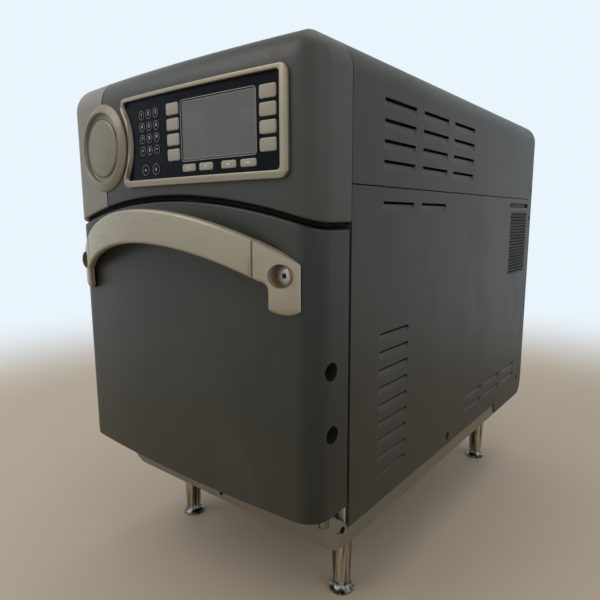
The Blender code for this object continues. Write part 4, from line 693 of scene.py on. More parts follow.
# The keys' paler rim is a painted highlight.
key_rim = plastic("key_rim", (0.4, 0.38, 0.34), 0.4, 1600, 0.05, 0.1)
pale_ink = plastic("pale_ink", (0.58, 0.58, 0.57), 0.5)
line_ink = plastic("line_ink", (0.24, 0.24, 0.235), 0.5)
grey_ink = plastic("grey_ink", (0.17, 0.175, 0.19), 0.5)
window_grey = plastic("window_grey", (0.084, 0.085, 0.076), 0.24, 500, 0.02, 0.05)
black_plastic = plastic("black_plastic", (0.018, 0.018, 0.019), 0.45)
# Near black for painted shade: it fills gaps and holes, and the dark behind sheets.
deep_black = plastic("deep_black", (0.003, 0.003, 0.003), 0.8, 900, 0.05, 0.0, 0.1)
# A dark sheet behind the louvres, as painted shade.
insulation_felt = plastic("insulation_felt", (0.012, 0.012, 0.011), 0.95, 300, 0.4)
seal_rubber = plastic("seal_rubber", (0.008, 0.008, 0.008), 0.75, 700, 0.1, 0.0, 0.15)
board_green = plastic("board_green", (0.02, 0.11, 0.045), 0.4)
copper_winding = brushed("copper_winding", (0.5, 0.2, 0.08), LENGTHWAYS, 0.35)
print("materials in the file, with the plastics:", len(bpy.data.materials))

# %% [markdown]
# The door is one pressed pan: a bowed skin whose top edge follows the arch, with returns at the top
# and bottom. Rows of the front's plan are stacked from the bottom edge to the arch, and the rows
# near each edge are drawn in along a quarter circle, which rounds it.

# %% Door shell
EDGE = 0.0022
EDGE_STEPS = 4
DOOR_WALL = 0.0025
BODY_ROWS = 8


def edge_insets():
    """Pairs of inset and rise round a quarter circle, from the flat to the upright face."""
    for i in range(EDGE_STEPS + 1):
        a = QUARTER * i / EDGE_STEPS
        yield EDGE * (1 - math.sin(a)), EDGE * (1 - math.cos(a))


def front_rows(back, foot, head, size=CORNER):
    """Rows of the front between two edges: foot and head give the edge's height at x."""
    plain = front_plan(0, back, size)
    rows = []
    for inset, rise in edge_insets():
        plan = front_plan(inset, back, size)
        rows.append([(x, y, foot(x0) + rise) for (x, y), (x0, _) in zip(plan, plain)])
    for k in range(1, BODY_ROWS):
        share = k / BODY_ROWS
        rows.append([(x, y, (foot(x) + EDGE) * (1 - share) + (head(x) - EDGE) * share) for x, y in plain])
    for inset, rise in reversed(list(edge_insets())):
        plan = front_plan(inset, back, size)
        rows.append([(x, y, head(x0) - rise) for (x, y), (x0, _) in zip(plan, plain)])
    return rows


DOOR_GAP = 0.0021
DOOR_FOOT = door_low.z - 0.0018
door_back = door_high.y - DOOR_GAP
rows = front_rows(door_back, lambda x: DOOR_FOOT, lambda x: arch_z(x, DOOR_ARCH))
door = walled(piece_of("door_skin", skin(rows, door_back, True, True)), DOOR_WALL)
print("door skin", len(door.data.vertices), "vertices, its sheet", DOOR_WALL, "m")

# %% [markdown]
# Two round holes in each side of the door let a driver reach the screws that hold the inner frame. A
# black cup closes each hole from behind, and the screw lies at its bottom.

# %% Holes in the door's sides
SIDE_HOLES = ((0.033, 0.326), (0.031, 0.26))
SIDE_HOLE_RADIUS = 0.0095
side_drilled(door, [(SEAM - reach, z, SIDE_HOLE_RADIUS) for reach, z in SIDE_HOLES], 0.012)
settle(door, door_paint, "door", ["door_shell"])

CUP_DEPTH = 0.011
CUP_WALL = 0.0008
cup_radius = SIDE_HOLE_RADIUS + 0.0004
cup_profile = [(0, -CUP_DEPTH), (cup_radius, -CUP_DEPTH), (cup_radius, 0), (cup_radius + CUP_WALL, 0),
               (cup_radius + CUP_WALL, -CUP_DEPTH - CUP_WALL), (0, -CUP_DEPTH - CUP_WALL)]
for side, side_name in SIDES:
    for (reach, z), level_name in zip(SIDE_HOLES, ("upper", "lower")):
        inside = to_side(side, HALF - DOOR_WALL - 0.0002, SEAM - reach, z)
        cup = lathe(f"door_cup_{level_name}_{side_name}", cup_profile, inside)
        settle(cup, black_plastic, "door", crisp=30)

# %% [markdown]
# The head over the door is built the same way, but it ends in a dome: the rows above the upright
# face draw in along a circle until the flat top. It is cut in two at the seam beside the badge,
# because the left end is a separate champagne cap.

# %% Console head and side cap
HEAD_BACK = head_high.y
HEAD_WALL = 0.003
DOME_STEPS = 14
CAP_SEAM = 0.0835 - HALF
CAP_CORNER = 0.0215
SEAM_GAP = 0.0024


def head_rows(size):
    flat_z = TOP - DOME
    rows = front_rows(HEAD_BACK, arch_z, lambda x: flat_z, size)[:-EDGE_STEPS - 1]
    for step in range(DOME_STEPS + 1):
        a = QUARTER * step / DOME_STEPS
        inset = DOME * (1 - math.cos(a))
        plan = front_plan(inset, HEAD_BACK, size)
        rows.append([(x, y, flat_z + DOME * math.sin(a)) for x, y in plan])
    return rows


def kept_side(name, x, side, size):
    """The part of the head's skin on one side of a line, with its wall."""
    shape = skin(head_rows(size), HEAD_BACK, True, True)
    sliced(shape, (x, 0, 0), (side, 0, 0), MERGE, clear_inner=True)
    return walled(piece_of(name, shape), HEAD_WALL)


head = kept_side("console_head", CAP_SEAM + SEAM_GAP / 2, 1, CORNER)
cap = kept_side("console_cap", CAP_SEAM - SEAM_GAP / 2, -1, CAP_CORNER)
print("head and cap:", len(head.data.polygons), len(cap.data.polygons), "faces")

# %% [markdown]
# The narrow gap between the head and its cap is filled with painted shade: a black slice of the same
# skin, kept between two planes and set a little deeper.

# %% Painted shade between head and cap
SEAM_SHADE_SINK = 0.0003
SEAM_SHADE_WALL = 0.0015
shape = skin(head_rows(CORNER), HEAD_BACK, True, True)
for side in (-1, 1):
    sliced(shape, (CAP_SEAM - side * SEAM_GAP * 0.49, 0, 0), (side, 0, 0), MERGE, clear_inner=True)
shape.normal_update()
for v in shape.verts:
    v.co -= v.normal * SEAM_SHADE_SINK
# A black slice that stands in for the shade in the seam.
cap_shade = walled(piece_of("cap_seal", shape), SEAM_SHADE_WALL)
settle(cap_shade, deep_black)

# %% [markdown]
# A black lip hangs from the head's lower edge into the gap over the door. It is painted shade: it is
# why the gap looks black from end to end.

# %% Black lip over the door, as painted shade
LIP_INSET = 0.0042
LIP_DROP = 0.005
LIP_WALL = 0.0012
lip_plan = front_plan(LIP_INSET, HEAD_BACK)
lip_rows = [[(x, y, arch_z(x) - LIP_DROP * (1 - k)) for x, y in lip_plan] for k in (0, 0.5, 1)]
# A black strip that stands in for the shade in the gap.
shade_lip = walled(piece_of("head_lip", skin(lip_rows)), LIP_WALL)
settle(shade_lip, deep_black)

# %% [markdown]
# The bezel is square on the right and hollowed on the left, where it runs round the badge. The same
# outline, drawn in, cuts the window behind it and shapes the keypad panel.

# %% Bezel outline and the window behind it
BEZEL_HIGH = TOP - 0.034
BEZEL_LOW = TOP - 0.1344
BEZEL_RIGHT = HALF - 0.0272
BEZEL_TOP_BAND, BEZEL_LOW_BAND, BEZEL_RIGHT_BAND = 0.0043, 0.0078, 0.0089
PANEL_INSET = 0.0026
BADGE_Z = TOP - 0.0844
HOLLOW = 0.0608
HOLLOW_BAND = 0.0056


def bezel_outline(inset=(0, 0, 0, 0), corner=0.009, steps=8):
    """The bezel's shape, drawn in at its top, foot, right and hollow sides."""
    high, low, right = BEZEL_HIGH - inset[0], BEZEL_LOW + inset[1], BEZEL_RIGHT - inset[2]
    hollow = HOLLOW + inset[3]
    reach = hollow + corner
    rise = high - corner - BADGE_Z
    drop = BADGE_Z - low - corner
    top_x = CAP_SEAM + math.sqrt(reach ** 2 - rise ** 2)
    low_x = CAP_SEAM + math.sqrt(reach ** 2 - drop ** 2)
    top_turn = math.atan2(rise, top_x - CAP_SEAM)
    low_turn = math.atan2(-drop, low_x - CAP_SEAM)
    return (
        arc((right - corner, low + corner), corner, -QUARTER, 0, steps)
        + arc((right - corner, high - corner), corner, 0, QUARTER, steps)
        + arc((top_x, high - corner), corner, QUARTER, math.pi + top_turn, steps)
        + arc((CAP_SEAM, BADGE_Z), hollow, top_turn, low_turn, 3 * steps)[1:-1]
        + arc((low_x, low + corner), corner, math.pi + low_turn, 3 * QUARTER, steps)
    )


window_outline = bezel_outline([PANEL_INSET - 0.0002] * 4, 0.007)
cut(head, plate("window_cut", [window_outline], 0.06, to_front(FRONT - 0.02)))
badge_turn = math.asin(CAP_SEAM / BOW)
badge_out = Vector((math.sin(badge_turn), -math.cos(badge_turn), 0))
badge_point = Vector((CAP_SEAM, bow_y(CAP_SEAM), BADGE_Z))
BADGE_RADIUS = 0.0523
BADGE_POCKET = 0.0013
for item in (head, cap):
    pocket = rod("pocket", badge_point - badge_out * BADGE_POCKET, badge_point + badge_out * 0.02,
                 BADGE_RADIUS + 0.0003, 96)
    cut(item, pocket)
settle(head, head_paint, "oven", ["console_housing"])
settle(cap, cap_coat, "oven", ["console_side_cap"])

# %% [markdown]
# The badge is a turned ring: a raised rim, a channel inside it, and a low disc in the middle. The
# disc is left bare.

# %% Round badge
BADGE_PROFILE = [
    (0, 0.0042), (0.0318, 0.0041), (0.0331, 0.0038), (0.0341, 0.0032), (0.0347, 0.0023), (0.0349, 0.0012),
    (0.0356, 0.0008), (0.0396, 0.0008), (0.0402, 0.0012), (0.0413, 0.0052), (0.0419, 0.0058),
    (0.0427, 0.006), (0.0436, 0.0058), (0.0461, 0.0048), (0.0489, 0.0034), (0.0512, 0.0019),
    (0.052, 0.0012), (BADGE_RADIUS, 0.0006), (BADGE_RADIUS, -0.001), (0, -0.001),
]
badge = lathe("badge_ring", BADGE_PROFILE, facing(badge_out, badge_point), 96)
settle(badge, badge_coat, "oven", ["round_badge"], 38)

# %% [markdown]
# The bezel frame is a ring with rounded edges, bent to the bow. Its top side is the narrowest and its
# right side the widest. Along the hollow it slopes down from a thin rim to the keypad.

# %% Bezel frame
BEZEL_PROUD = 0.0045
BEZEL_ROUND = 0.0019
SLOPE_START = 0.0018
SLOPE_DEPTH = 0.0037
SLOPE_BLEND = 0.004
hollow_high = BEZEL_HIGH - BEZEL_TOP_BAND
hollow_low = BEZEL_LOW + BEZEL_LOW_BAND


def painted_bezel_shade(finish):
    """Painted shade on the bezel: most on the slope along the hollow, more faintly on the lower and right
    edges.
    """
    away = finish.away((CAP_SEAM, 0, BADGE_Z), (1, 0, 1))
    height = finish.add("SeparateXYZ", output=2, Vector=finish.place)
    start = HOLLOW + SLOPE_START
    over_foot = finish.step(height, hollow_low, hollow_low + 0.002)
    between = over_foot * (1 - finish.step(height, hollow_high - 0.002, hollow_high))
    within = 1 - finish.step(away, HOLLOW + HOLLOW_BAND, HOLLOW + HOLLOW_BAND + 0.001)
    slope = finish.step(away, start - 0.0002, start + 0.0014) * between * within
    across = finish.add("SeparateXYZ", output=0, Vector=finish.place)
    below = 1 - finish.step(height, BEZEL_LOW + 0.0046, BEZEL_LOW + 0.0068)
    beside = finish.step(across, BEZEL_RIGHT - 0.0044, BEZEL_RIGHT - 0.0026)
    return slope + below * 0.5 + beside * 0.4


bezel_coat = champagne("bezel_coat", (0.335, 0.283, 0.2), 0.25, painted_bezel_shade)
inner = bezel_outline((BEZEL_TOP_BAND, BEZEL_LOW_BAND, BEZEL_RIGHT_BAND, HOLLOW_BAND), 0.004)
bezel = plate("bezel_ring", [bezel_outline(), inner], BEZEL_PROUD - 0.0003, to_front(-BEZEL_PROUD))
bezel = soft(bezel, BEZEL_ROUND, 5)
for v in bezel.data.vertices:
    reach = math.hypot(v.co.x - CAP_SEAM, v.co.z - BADGE_Z) - HOLLOW - SLOPE_START
    down = min(max(reach / (HOLLOW_BAND - SLOPE_START), 0.0), 1.0)
    inside = min(max(min(hollow_high - v.co.z, v.co.z - hollow_low) / SLOPE_BLEND, 0.0), 1.0)
    if reach < HOLLOW_BAND:
        front_share = -v.co.y / BEZEL_PROUD
        v.co.y += SLOPE_DEPTH * down * inside * front_share
bent_to_bow(bezel)
settle(bezel, bezel_coat, "oven", ["bezel_frame"], 50)

# %% [markdown]
# The keypad panel sits in the window. Each key has a pocket in it, so the keys can travel in.

# %% Keypad panel, display and keys
keys = {name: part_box(name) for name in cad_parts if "key_" in name}
KEY_TRIM = Vector((0.0003, 0, 0.0011))
display_low, display_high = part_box("display_window")
FIT = 0.0003
KEY_CORNER = 0.0022
PANEL_THICK = 0.003
BACKING_DEPTH = 0.0036
ROUND_KEYS = {f"key_{name}" for name in (*"0123456789", "clear", "set", "menu", "power")}
for name, (low, high) in keys.items():
    if name not in ROUND_KEYS:
        keys[name] = (low + KEY_TRIM, high - KEY_TRIM)


def grown(low, high, grow, corner):
    """A rounded rectangle round a node's front face, a little larger or smaller than it."""
    return rounded((low.x - grow, low.z - grow), (high.x + grow, high.z + grow), corner + grow)


holes = [grown(display_low, display_high, FIT, KEY_CORNER)]
for name, (low, high) in keys.items():
    if name in ROUND_KEYS:
        middle = (low + high) / 2
        holes.append(full_circle((middle.x, middle.z), (high.z - low.z) / 2 + FIT, 32))
    else:
        holes.append(grown(low, high, FIT, KEY_CORNER))
panel_outline = bezel_outline([PANEL_INSET] * 4, 0.0068)
panel = soft(plate("keypad_face", [panel_outline] + holes, PANEL_THICK, to_front()), 0.00025, 1)
bent_to_bow(panel)
backing = bent_to_bow(plate("keypad_back", [panel_outline], 0.0012, to_front(BACKING_DEPTH)))
settle(panel, keypad_film, "oven", ["keypad_panel"], 40)
settle(backing, keypad_film)

# %% [markdown]
# The window is a grey pane set 0.6 mm into the film. Two printed lines run round it: a bright one
# outside its edge and a dim one just inside.

# %% Display window and its lines
PANE_SINK = 0.0006
LINE_THICK = 0.0002
pane_outline = grown(display_low, display_high, 0, KEY_CORNER)
pane = bent_to_bow(plate("display_pane", [pane_outline], 0.0018, to_front(PANE_SINK)))
settle(pane, window_grey, "oven", ["display_window"])


def printed_line(name, grow, width, sink, finish):
    outlines = [grown(display_low, display_high, g, KEY_CORNER) for g in (grow, grow - width)]
    line = bent_to_bow(plate(name, outlines, LINE_THICK, to_front(sink - LINE_THICK)))
    return settle(line, finish)


printed_line("display_line", 0.0014, 0.0007, 0.0, line_ink)
printed_line("display_inner_line", -0.001, 0.0005, PANE_SINK, grey_ink)

# %% [markdown]
# The soft keys and arrow keys are moulded caps on a paler rim, which is a painted highlight round each
# cap. The number keys are flat and dark, with a thin grey ring. Every piece of a key rides on that key's
# own body, so it can be pressed.

# %% Keys
RIM_WIDTH = 0.0005
KEY_RIM_TOP, KEY_RIM_DEPTH, KEY_RIM_EDGE = 0.0007, 0.0029, 0.0004
CROWN_TOP, CROWN_DEPTH, CROWN_EDGE = 0.0011, 0.0006, 0.0003


def key_place(low, high):
    x = (low.x + high.x) / 2
    turned = math.asin(x / BOW)
    out = Vector((math.sin(turned), -math.cos(turned), 0))
    return facing(out, (x, bow_y(x), (low.z + high.z) / 2))


def crowned(name, half, tall, corner, top, depth, edge, place):
    """A moulded cap with rounded top edges, whose crown stands at top above the place."""
    outline = rounded((-half, -tall), (half, tall), corner)
    item = soft(plate(name, [outline], depth, Matrix.Translation((0, 0, top))), edge, 3)
    item.data.transform(place)
    return item


for name, (low, high) in keys.items():
    place = key_place(low, high)
    body = f"{name}_body"
    if name in ROUND_KEYS:
        radius = (high.z - low.z) / 2
        profile = [(0, 0.0006), (radius - 0.001, 0.0006), (radius - 0.0003, 0.0004), (radius, 0.0001),
                   (radius, -0.0022), (0, -0.0022)]
        key = lathe(f"{name}_cap", profile, place, 32)
        settle(key, keypad_film, body, [name], 40)
        ring = [(radius - 0.0011, 0.0006), (radius - 0.001, 0.0008), (radius - 0.0006, 0.0008),
                (radius - 0.0005, 0.0004), (radius - 0.0011, 0.0006)]
        settle(lathe(f"{name}_ring", ring, place, 32), grey_ink, body, crisp=40)
    else:
        half = (high.x - low.x) / 2 - 0.0001
        tall = (high.z - low.z) / 2
        # The paler rim round the cap is a painted highlight.
        rim = crowned(f"{name}_rim", half, tall, KEY_CORNER, KEY_RIM_TOP, KEY_RIM_DEPTH, KEY_RIM_EDGE,
                      place)
        settle(rim, key_rim, body, crisp=50)
        key = crowned(f"{name}_cap", half - RIM_WIDTH, tall - RIM_WIDTH, KEY_CORNER - RIM_WIDTH,
                      CROWN_TOP, CROWN_DEPTH, CROWN_EDGE, place)
        settle(key, key_plastic, body, [name], 50)

# %% [markdown]
# The number keys carry plain numbers. Text is drawn by Blender's own font, made a mesh, and set on
# the upper half of the key's face. The arrow keys carry plain arrows and bars.

# %% Numbers and arrows on the keys
NUMBER_SIZE = 0.0052
NUMBER_RISE, NUMBER_OUT = 0.0005, 0.0007
MARK = 0.0021
INK = 0.00016


def text_on(name, words, size, place, body):
    letters = bpy.data.curves.new(name, "FONT")
    letters.body = words
    letters.size = size
    letters.align_x = "CENTER"
    letters.align_y = "CENTER"
    letters.extrude = INK / 2
    item = applied(add_piece(name, letters))
    item.data.transform(place @ Matrix.Translation((0, NUMBER_RISE, NUMBER_OUT)))
    return settle(item, pale_ink, body)


for digit in "0123456789":
    name = f"key_{digit}"
    text_on(f"{name}_number", digit, NUMBER_SIZE, key_place(*keys[name]), f"{name}_body")

KEY_MARKS = {
    "key_up": [(-MARK, -MARK / 2), (MARK, -MARK / 2), (0, MARK / 2)],
    "key_down": [(-MARK, MARK / 2), (0, -MARK / 2), (MARK, MARK / 2)],
    "key_back": rectangle((-MARK, -MARK / 3), (MARK, MARK / 3)),
    "key_enter": rectangle((-1.6 * MARK, -MARK / 4), (1.6 * MARK, MARK / 4)),
    "key_menu": full_circle((0, 0), MARK / 2, 16),
    "key_power": rectangle((-MARK / 4, -MARK * 0.8), (MARK / 4, MARK * 0.8)),
    "key_clear": rectangle((-MARK * 0.7, MARK / 5), (MARK * 0.7, MARK * 0.5)),
    "key_set": rectangle((-MARK * 0.7, MARK / 5), (MARK * 0.7, MARK * 0.5)),
}
for name, outline in KEY_MARKS.items():
    rise = 0.0008 if name in ROUND_KEYS else 0.0012
    mark = plate(f"{name}_mark", [outline], INK, Matrix.Translation((0, 0, rise)))
    mark.data.transform(key_place(*keys[name]))
    settle(mark, pale_ink, f"{name}_body")

# %% [markdown]
# A louvre is a scoop pressed into the sheet, with a narrow slit along its top. One scoop is shaped as
# a small grid whose depth follows a rule: nothing along the bottom edge and at both ends, most at the
# top. The ends are steep, so most of the grid's columns stand there.

# %% One pressed louvre
LOUVRE_HEIGHT = 0.0117
LOUVRE_SLIT = 0.0028
LOUVRE_DEPTH = 0.0021
LOUVRE_END = 0.0034
LOUVRE_SHEET = 0.0009


def louvre(name, length):
    """A louvre about its own middle: X along it, Y up, Z out of the sheet."""
    rises, end_steps = 8, 6
    ends = [length / 2 - LOUVRE_END * k / end_steps for k in range(end_steps + 1)]
    stations = [-x for x in ends] + ends[::-1]
    columns = len(stations) - 1
    shape = bmesh.new()
    layers = []
    for back in (0, LOUVRE_SHEET):
        grid = []
        for j in range(rises + 1):
            up = j / rises
            row = []
            for x in stations:
                end = min(1.0, (length / 2 - abs(x)) / LOUVRE_END)
                depth = LOUVRE_DEPTH * up ** 2 * end * end * (3 - 2 * end)
                height = (LOUVRE_HEIGHT - LOUVRE_SLIT) * up - LOUVRE_HEIGHT / 2
                row.append(shape.verts.new((x, height, -depth - back)))
            grid.append(row)
        layers.append(grid)
    for k, grid in enumerate(layers):
        for a, b in zip(grid, grid[1:]):
            for i in range(columns):
                corners = (a[i], a[i + 1], b[i + 1], b[i])
                shape.faces.new(corners if k == 0 else corners[::-1])
    front, behind = layers
    rim = ([(0, i) for i in range(columns)] + [(j, columns) for j in range(rises)]
           + [(rises, i) for i in range(columns, 0, -1)] + [(j, 0) for j in range(rises, 0, -1)])
    for (j1, i1), (j2, i2) in zip(rim, rim[1:] + rim[:1]):
        shape.faces.new((front[j1][i1], behind[j1][i1], behind[j2][i2], front[j2][i2]))
    return piece_of(name, shape)


print("a louvre is pressed in", LOUVRE_DEPTH, "m and leaves a slit of", LOUVRE_SLIT, "m")

# %% [markdown]
# Geometry Nodes copy a shape to every marked point. The points are the vertices of a small mesh,
# and an attribute called facing says which way each copy looks. The tree turns the copies real and
# gives them their finish, and the result becomes a plain mesh.

# %% Geometry Nodes: a shape on every point


class Tree(Nodes):
    """A Geometry Nodes tree with named inputs."""

    def __init__(self, name, inputs):
        super().__init__(bpy.data.node_groups.new(name, "GeometryNodeTree"))
        self.names = {}
        self.socket("Geometry", "INPUT", "Geometry")
        for label, (kind, value) in inputs.items():
            socket = self.socket(label, "INPUT", kind)
            if value is not None:
                socket.default_value = value
            self.names[label] = socket.identifier
        self.socket("Geometry", "OUTPUT", "Geometry")
        self.start = self.tree.nodes.new("NodeGroupInput")
        self.end = self.tree.nodes.new("NodeGroupOutput")

    def socket(self, label, way, kind):
        return self.tree.interface.new_socket(label, in_out=way, socket_type=f"NodeSocket{kind}")

    def input(self, label):
        return Value(self.tree, self.start.outputs[label])

    def close(self, geometry):
        """Ends the tree in real geometry with a finish."""
        real = self.add("GeometryNodeRealizeInstances", Geometry=geometry)
        coat = self.add("GeometryNodeSetMaterial", Geometry=real, Material=self.input("Finish"))
        self.feed(self.end.inputs[0], coat)

    def grow(self, name, mesh, **values):
        """Runs the tree on a mesh with these sizes, and returns the plain result."""
        item = add_piece(name, mesh)
        step = item.modifiers.new("grow", "NODES")
        step.node_group = self.tree
        for label, value in values.items():
            step[self.names[label.replace("_", " ")]] = value
        return applied(item)


copies = Tree("copies_on_points", {
    "Shape": ("Object", None), "Finish": ("Material", None), "Scale": ("Float", 1.0),
    "Loose turn": ("Float", 0.0), "Seed": ("Int", 7),
})
named = copies.add("GeometryNodeInputNamedAttribute", {"data_type": "FLOAT_VECTOR"}, Name="facing")
upward = copies.add("FunctionNodeAxesToRotation", {"primary_axis": "Z", "secondary_axis": "Y"},
                    _0=named, _1=(0.0, 0.0, 1.0))
spin = copies.add("FunctionNodeRandomValue", {"data_type": "FLOAT"}, 1, _2=0.0,
                  _3=copies.input("Loose turn"), Seed=copies.input("Seed"))
loose = copies.add("FunctionNodeEulerToRotation", Euler=copies.add("ShaderNodeCombineXYZ", Z=spin))
both = copies.add("FunctionNodeRotateRotation", {"rotation_space": "LOCAL"}, Rotation=upward,
                  Rotate_By=loose)
source = copies.add("GeometryNodeObjectInfo", {"transform_space": "ORIGINAL"}, "Geometry",
                    Object=copies.input("Shape"))
placed = copies.add("GeometryNodeInstanceOnPoints", Points=copies.input("Geometry"), Instance=source,
                    Rotation=both, Scale=copies.input("Scale"))
copies.close(placed)
print(copies.tree.name, "has", len(copies.tree.nodes), "nodes")


def side_places(out, spots, sides=(-1, 1)):
    """Points at these (y, z) on the oven's sides, each with the way that it faces."""
    return [((side * out, y, z), (side, 0, 0)) for side in sides for y, z in spots]


def marks(name, places):
    """A mesh of points, each with the way that its copy faces."""
    mesh = bpy.data.meshes.new(name)
    mesh.from_pydata([point for point, _ in places], [], [])
    layer = mesh.attributes.new("facing", "FLOAT_VECTOR", "POINT")
    for mark, (_, normal) in zip(layer.data, places):
        mark.vector = normal
    return mesh


def copies_of(shape, name, places, finish, **values):
    item = copies.grow(name, marks(name, places), Shape=shape, Finish=finish, **values)
    bpy.data.objects.remove(shape)
    return item


# %% [markdown]
# The louvres stand in columns and rows on the cover and on both side panels. Their places are worked
# out once, and used twice: for the openings in the sheets and for the scoops that fill them.

# %% Where the louvres are
LONG, MIDDLE, SHORT = 0.0735, 0.0695, 0.068
COLUMN_DEPTH, COLUMN_PITCH = 0.099, 0.093
ROW_PITCH = 0.0211
LOW_PITCH = 0.0207
REAR_COLUMNS = (0.366, 0.4535, 0.5435)
half_slot = LOUVRE_HEIGHT / 2
cover_louvres = [(COLUMN_DEPTH + COLUMN_PITCH * c, TOP - 0.0464 - half_slot - ROW_PITCH * r, LONG)
                 for c in range(3) for r in range(4)]
side_louvres = [(COLUMN_DEPTH + COLUMN_PITCH * c, CASE_SEAM - 0.0154 - half_slot, LONG) for c in range(2)]
side_louvres += [(0.0948, BASE_TOP + 0.0376 - half_slot + LOW_PITCH * r, MIDDLE) for r in range(9)]
side_louvres += [(depth, BASE_TOP + 0.036 - half_slot + LOW_PITCH * r, SHORT)
                 for depth in REAR_COLUMNS for r in range(2)]


def opening(depth, middle_z, length):
    """Low and high corner, as (y, z), of a louvre's opening."""
    y = SEAM + depth
    return (y - length / 2, middle_z - half_slot), (y + length / 2, middle_z + half_slot)


print(len(cover_louvres), "louvres on each side of the cover,", len(side_louvres), "on each side panel")

# %% [markdown]
# The top cover is one sheet bent over the case. Its section is swept from front to back on a grid
# whose lines run along the louvre openings, so the openings are made by leaving faces out.

# %% Top cover
CASE_GAP = 0.0013
cover_z = CASE_SEAM + CASE_GAP / 2
openings = [opening(*place) for place in cover_louvres]
levels = [z for low, high in openings for z in (low[1], high[1])]
ys = sorted({cover_low.y, cover_high.y} | {y for low, high in openings for y in (low[0], high[0])})
section = case_section(0, cover_z, levels)
cover_rows = [[(x, y, z) for x, z in section] for y in ys]
shape = skin(cover_rows)
gone = []
for face in shape.faces:
    centre = face.calc_center_median()
    if any(low[0] < centre.y < high[0] and low[1] < centre.z < high[1] for low, high in openings):
        if abs(centre.x) > HALF - SHEET:
            gone.append(face)
bmesh.ops.delete(shape, geom=gone, context="FACES")
cover = walled(piece_of("cover_sheet", shape), SHEET)
settle(cover, case_paint, "oven", ["top_cover"])

# %% [markdown]
# Each side panel is a flat sheet. Behind its rear louvres a tongue hangs down over the base, and a
# perforated grille fills a window near the back.

# %% Side panels
SIDE_BACK = cover_high.y
TONGUE_Z = BASE_TOP - 0.0175
GRILLE_LOW = (SEAM + 0.5085, CASE_SEAM - 0.1352)
GRILLE_HIGH = (SEAM + 0.6075, CASE_SEAM - 0.0225)
BAND_LOW = (SEAM + 0.502, CASE_SEAM - 0.016)
BAND_HIGH = (SEAM + 0.6085, CASE_SEAM - 0.0088)
PLUG_PLACES = [(SEAM + 0.2653, 0.157, 0.0062), (SEAM + 0.6055, 0.162, 0.0039)]
TONGUE_TOP, TONGUE_FRONT = REAR - 0.16, REAR - 0.152
side_high = CASE_SEAM - CASE_GAP / 2
side_openings = [opening(*place) for place in side_louvres]
side_openings += [(GRILLE_LOW, GRILLE_HIGH), (BAND_LOW, BAND_HIGH)]
side_loops = [[(cover_low.y, BASE_TOP), (TONGUE_TOP, BASE_TOP), (TONGUE_FRONT, TONGUE_Z),
               (SIDE_BACK, TONGUE_Z), (SIDE_BACK, side_high), (cover_low.y, side_high)]]
side_loops += [rectangle(low, high) for low, high in side_openings]
side_loops += [full_circle((y, z), radius, 24) for y, z, radius in PLUG_PLACES]
for side, name in SIDES:
    loops = [[(side * y, z) for y, z in loop] for loop in side_loops]
    sheet = plate(f"side_sheet_{name}", loops, SHEET, to_side(side, HALF))
    settle(sheet, case_paint, "oven", [f"side_panel_{name}"])

# %% [markdown]
# Behind each side stand two black sheets of painted shade: a baffle that the louvres let one glimpse,
# and a joggled strip that backs the seam between cover and side and keeps it dark.

# %% Painted shade behind the louvres and the seam
BAFFLE_IN, BAFFLE_THICK = 0.0145, 0.001
for side, name in SIDES:
    baffle = side_block(f"insulation_{name}", side, HALF - BAFFLE_IN, HALF - BAFFLE_IN - BAFFLE_THICK,
                      (SEAM + 0.012, BASE_TOP + 0.004), (SIDE_BACK - 0.002, TOP - 0.013), 0.0003)
    settle(baffle, insulation_felt)
    seam_shade = side_block(f"seam_strip_{name}", side, HALF - SHEET - 0.0002, HALF - SHEET - 0.0012,
                       (cover_low.y, CASE_SEAM - 0.008), (SIDE_BACK, CASE_SEAM + 0.008), 0.0002)
    settle(seam_shade, deep_black)

# %% [markdown]
# Now the scoops go into their openings. One scoop is made for each length, and the copying tree sets
# it in every opening of that length.

# %% Louvres in their openings
for side, name in SIDES:
    for length, label in ((LONG, "long"), (MIDDLE, "middle"), (SHORT, "short")):
        spots = [(SEAM + depth, z) for depth, z, size in cover_louvres + side_louvres if size == length]
        places = side_places(HALF, spots, (side,))
        item = copies_of(louvre("louvre", length), f"louvres_{label}_{name}", places, case_paint)
        settle(item, case_paint, crisp=40)

# %% [markdown]
# The grille is a sheet punched with staggered round holes. The tree makes a staggered grid of
# points, puts a circle on each, and fills between the circles and the sheet's outline.

# %% Geometry Nodes: punched sheet
punched = Tree("punched_sheet", {
    "Finish": ("Material", None), "Hole": ("Float", 0.002),
    "Width": ("Float", 0.1), "Columns": ("Int", 10), "Pitch": ("Float", 0.006),
    "Height": ("Float", 0.1), "Rows": ("Int", 10), "Row pitch": ("Float", 0.005),
})
columns_in, rows_in = punched.input("Columns"), punched.input("Rows")
pitch_in, row_pitch_in = punched.input("Pitch"), punched.input("Row pitch")
size_x = (columns_in - 1.0) * pitch_in
size_y = (rows_in - 1.0) * row_pitch_in
grid = punched.add("GeometryNodeMeshGrid", Size_X=size_x, Size_Y=size_y, Vertices_X=columns_in,
                   Vertices_Y=rows_in)
spot_y = punched.add("ShaderNodeSeparateXYZ", output=1, Vector=punched.add("GeometryNodeInputPosition"))
row_index = ((spot_y + size_y * 0.5) / row_pitch_in).whole()
shift = (row_index % 2.0 - 0.5) * (pitch_in * 0.5)
offset = punched.add("ShaderNodeCombineXYZ", X=shift)
staggered = punched.add("GeometryNodeSetPosition", Geometry=grid, Offset=offset)
circle = punched.add("GeometryNodeCurvePrimitiveCircle", Resolution=10, Radius=punched.input("Hole"))
circles = punched.add("GeometryNodeInstanceOnPoints", Points=staggered, Instance=circle)
real_circles = punched.add("GeometryNodeRealizeInstances", Geometry=circles)
edge = punched.add("GeometryNodeCurvePrimitiveQuadrilateral", Width=punched.input("Width"),
                   Height=punched.input("Height"))
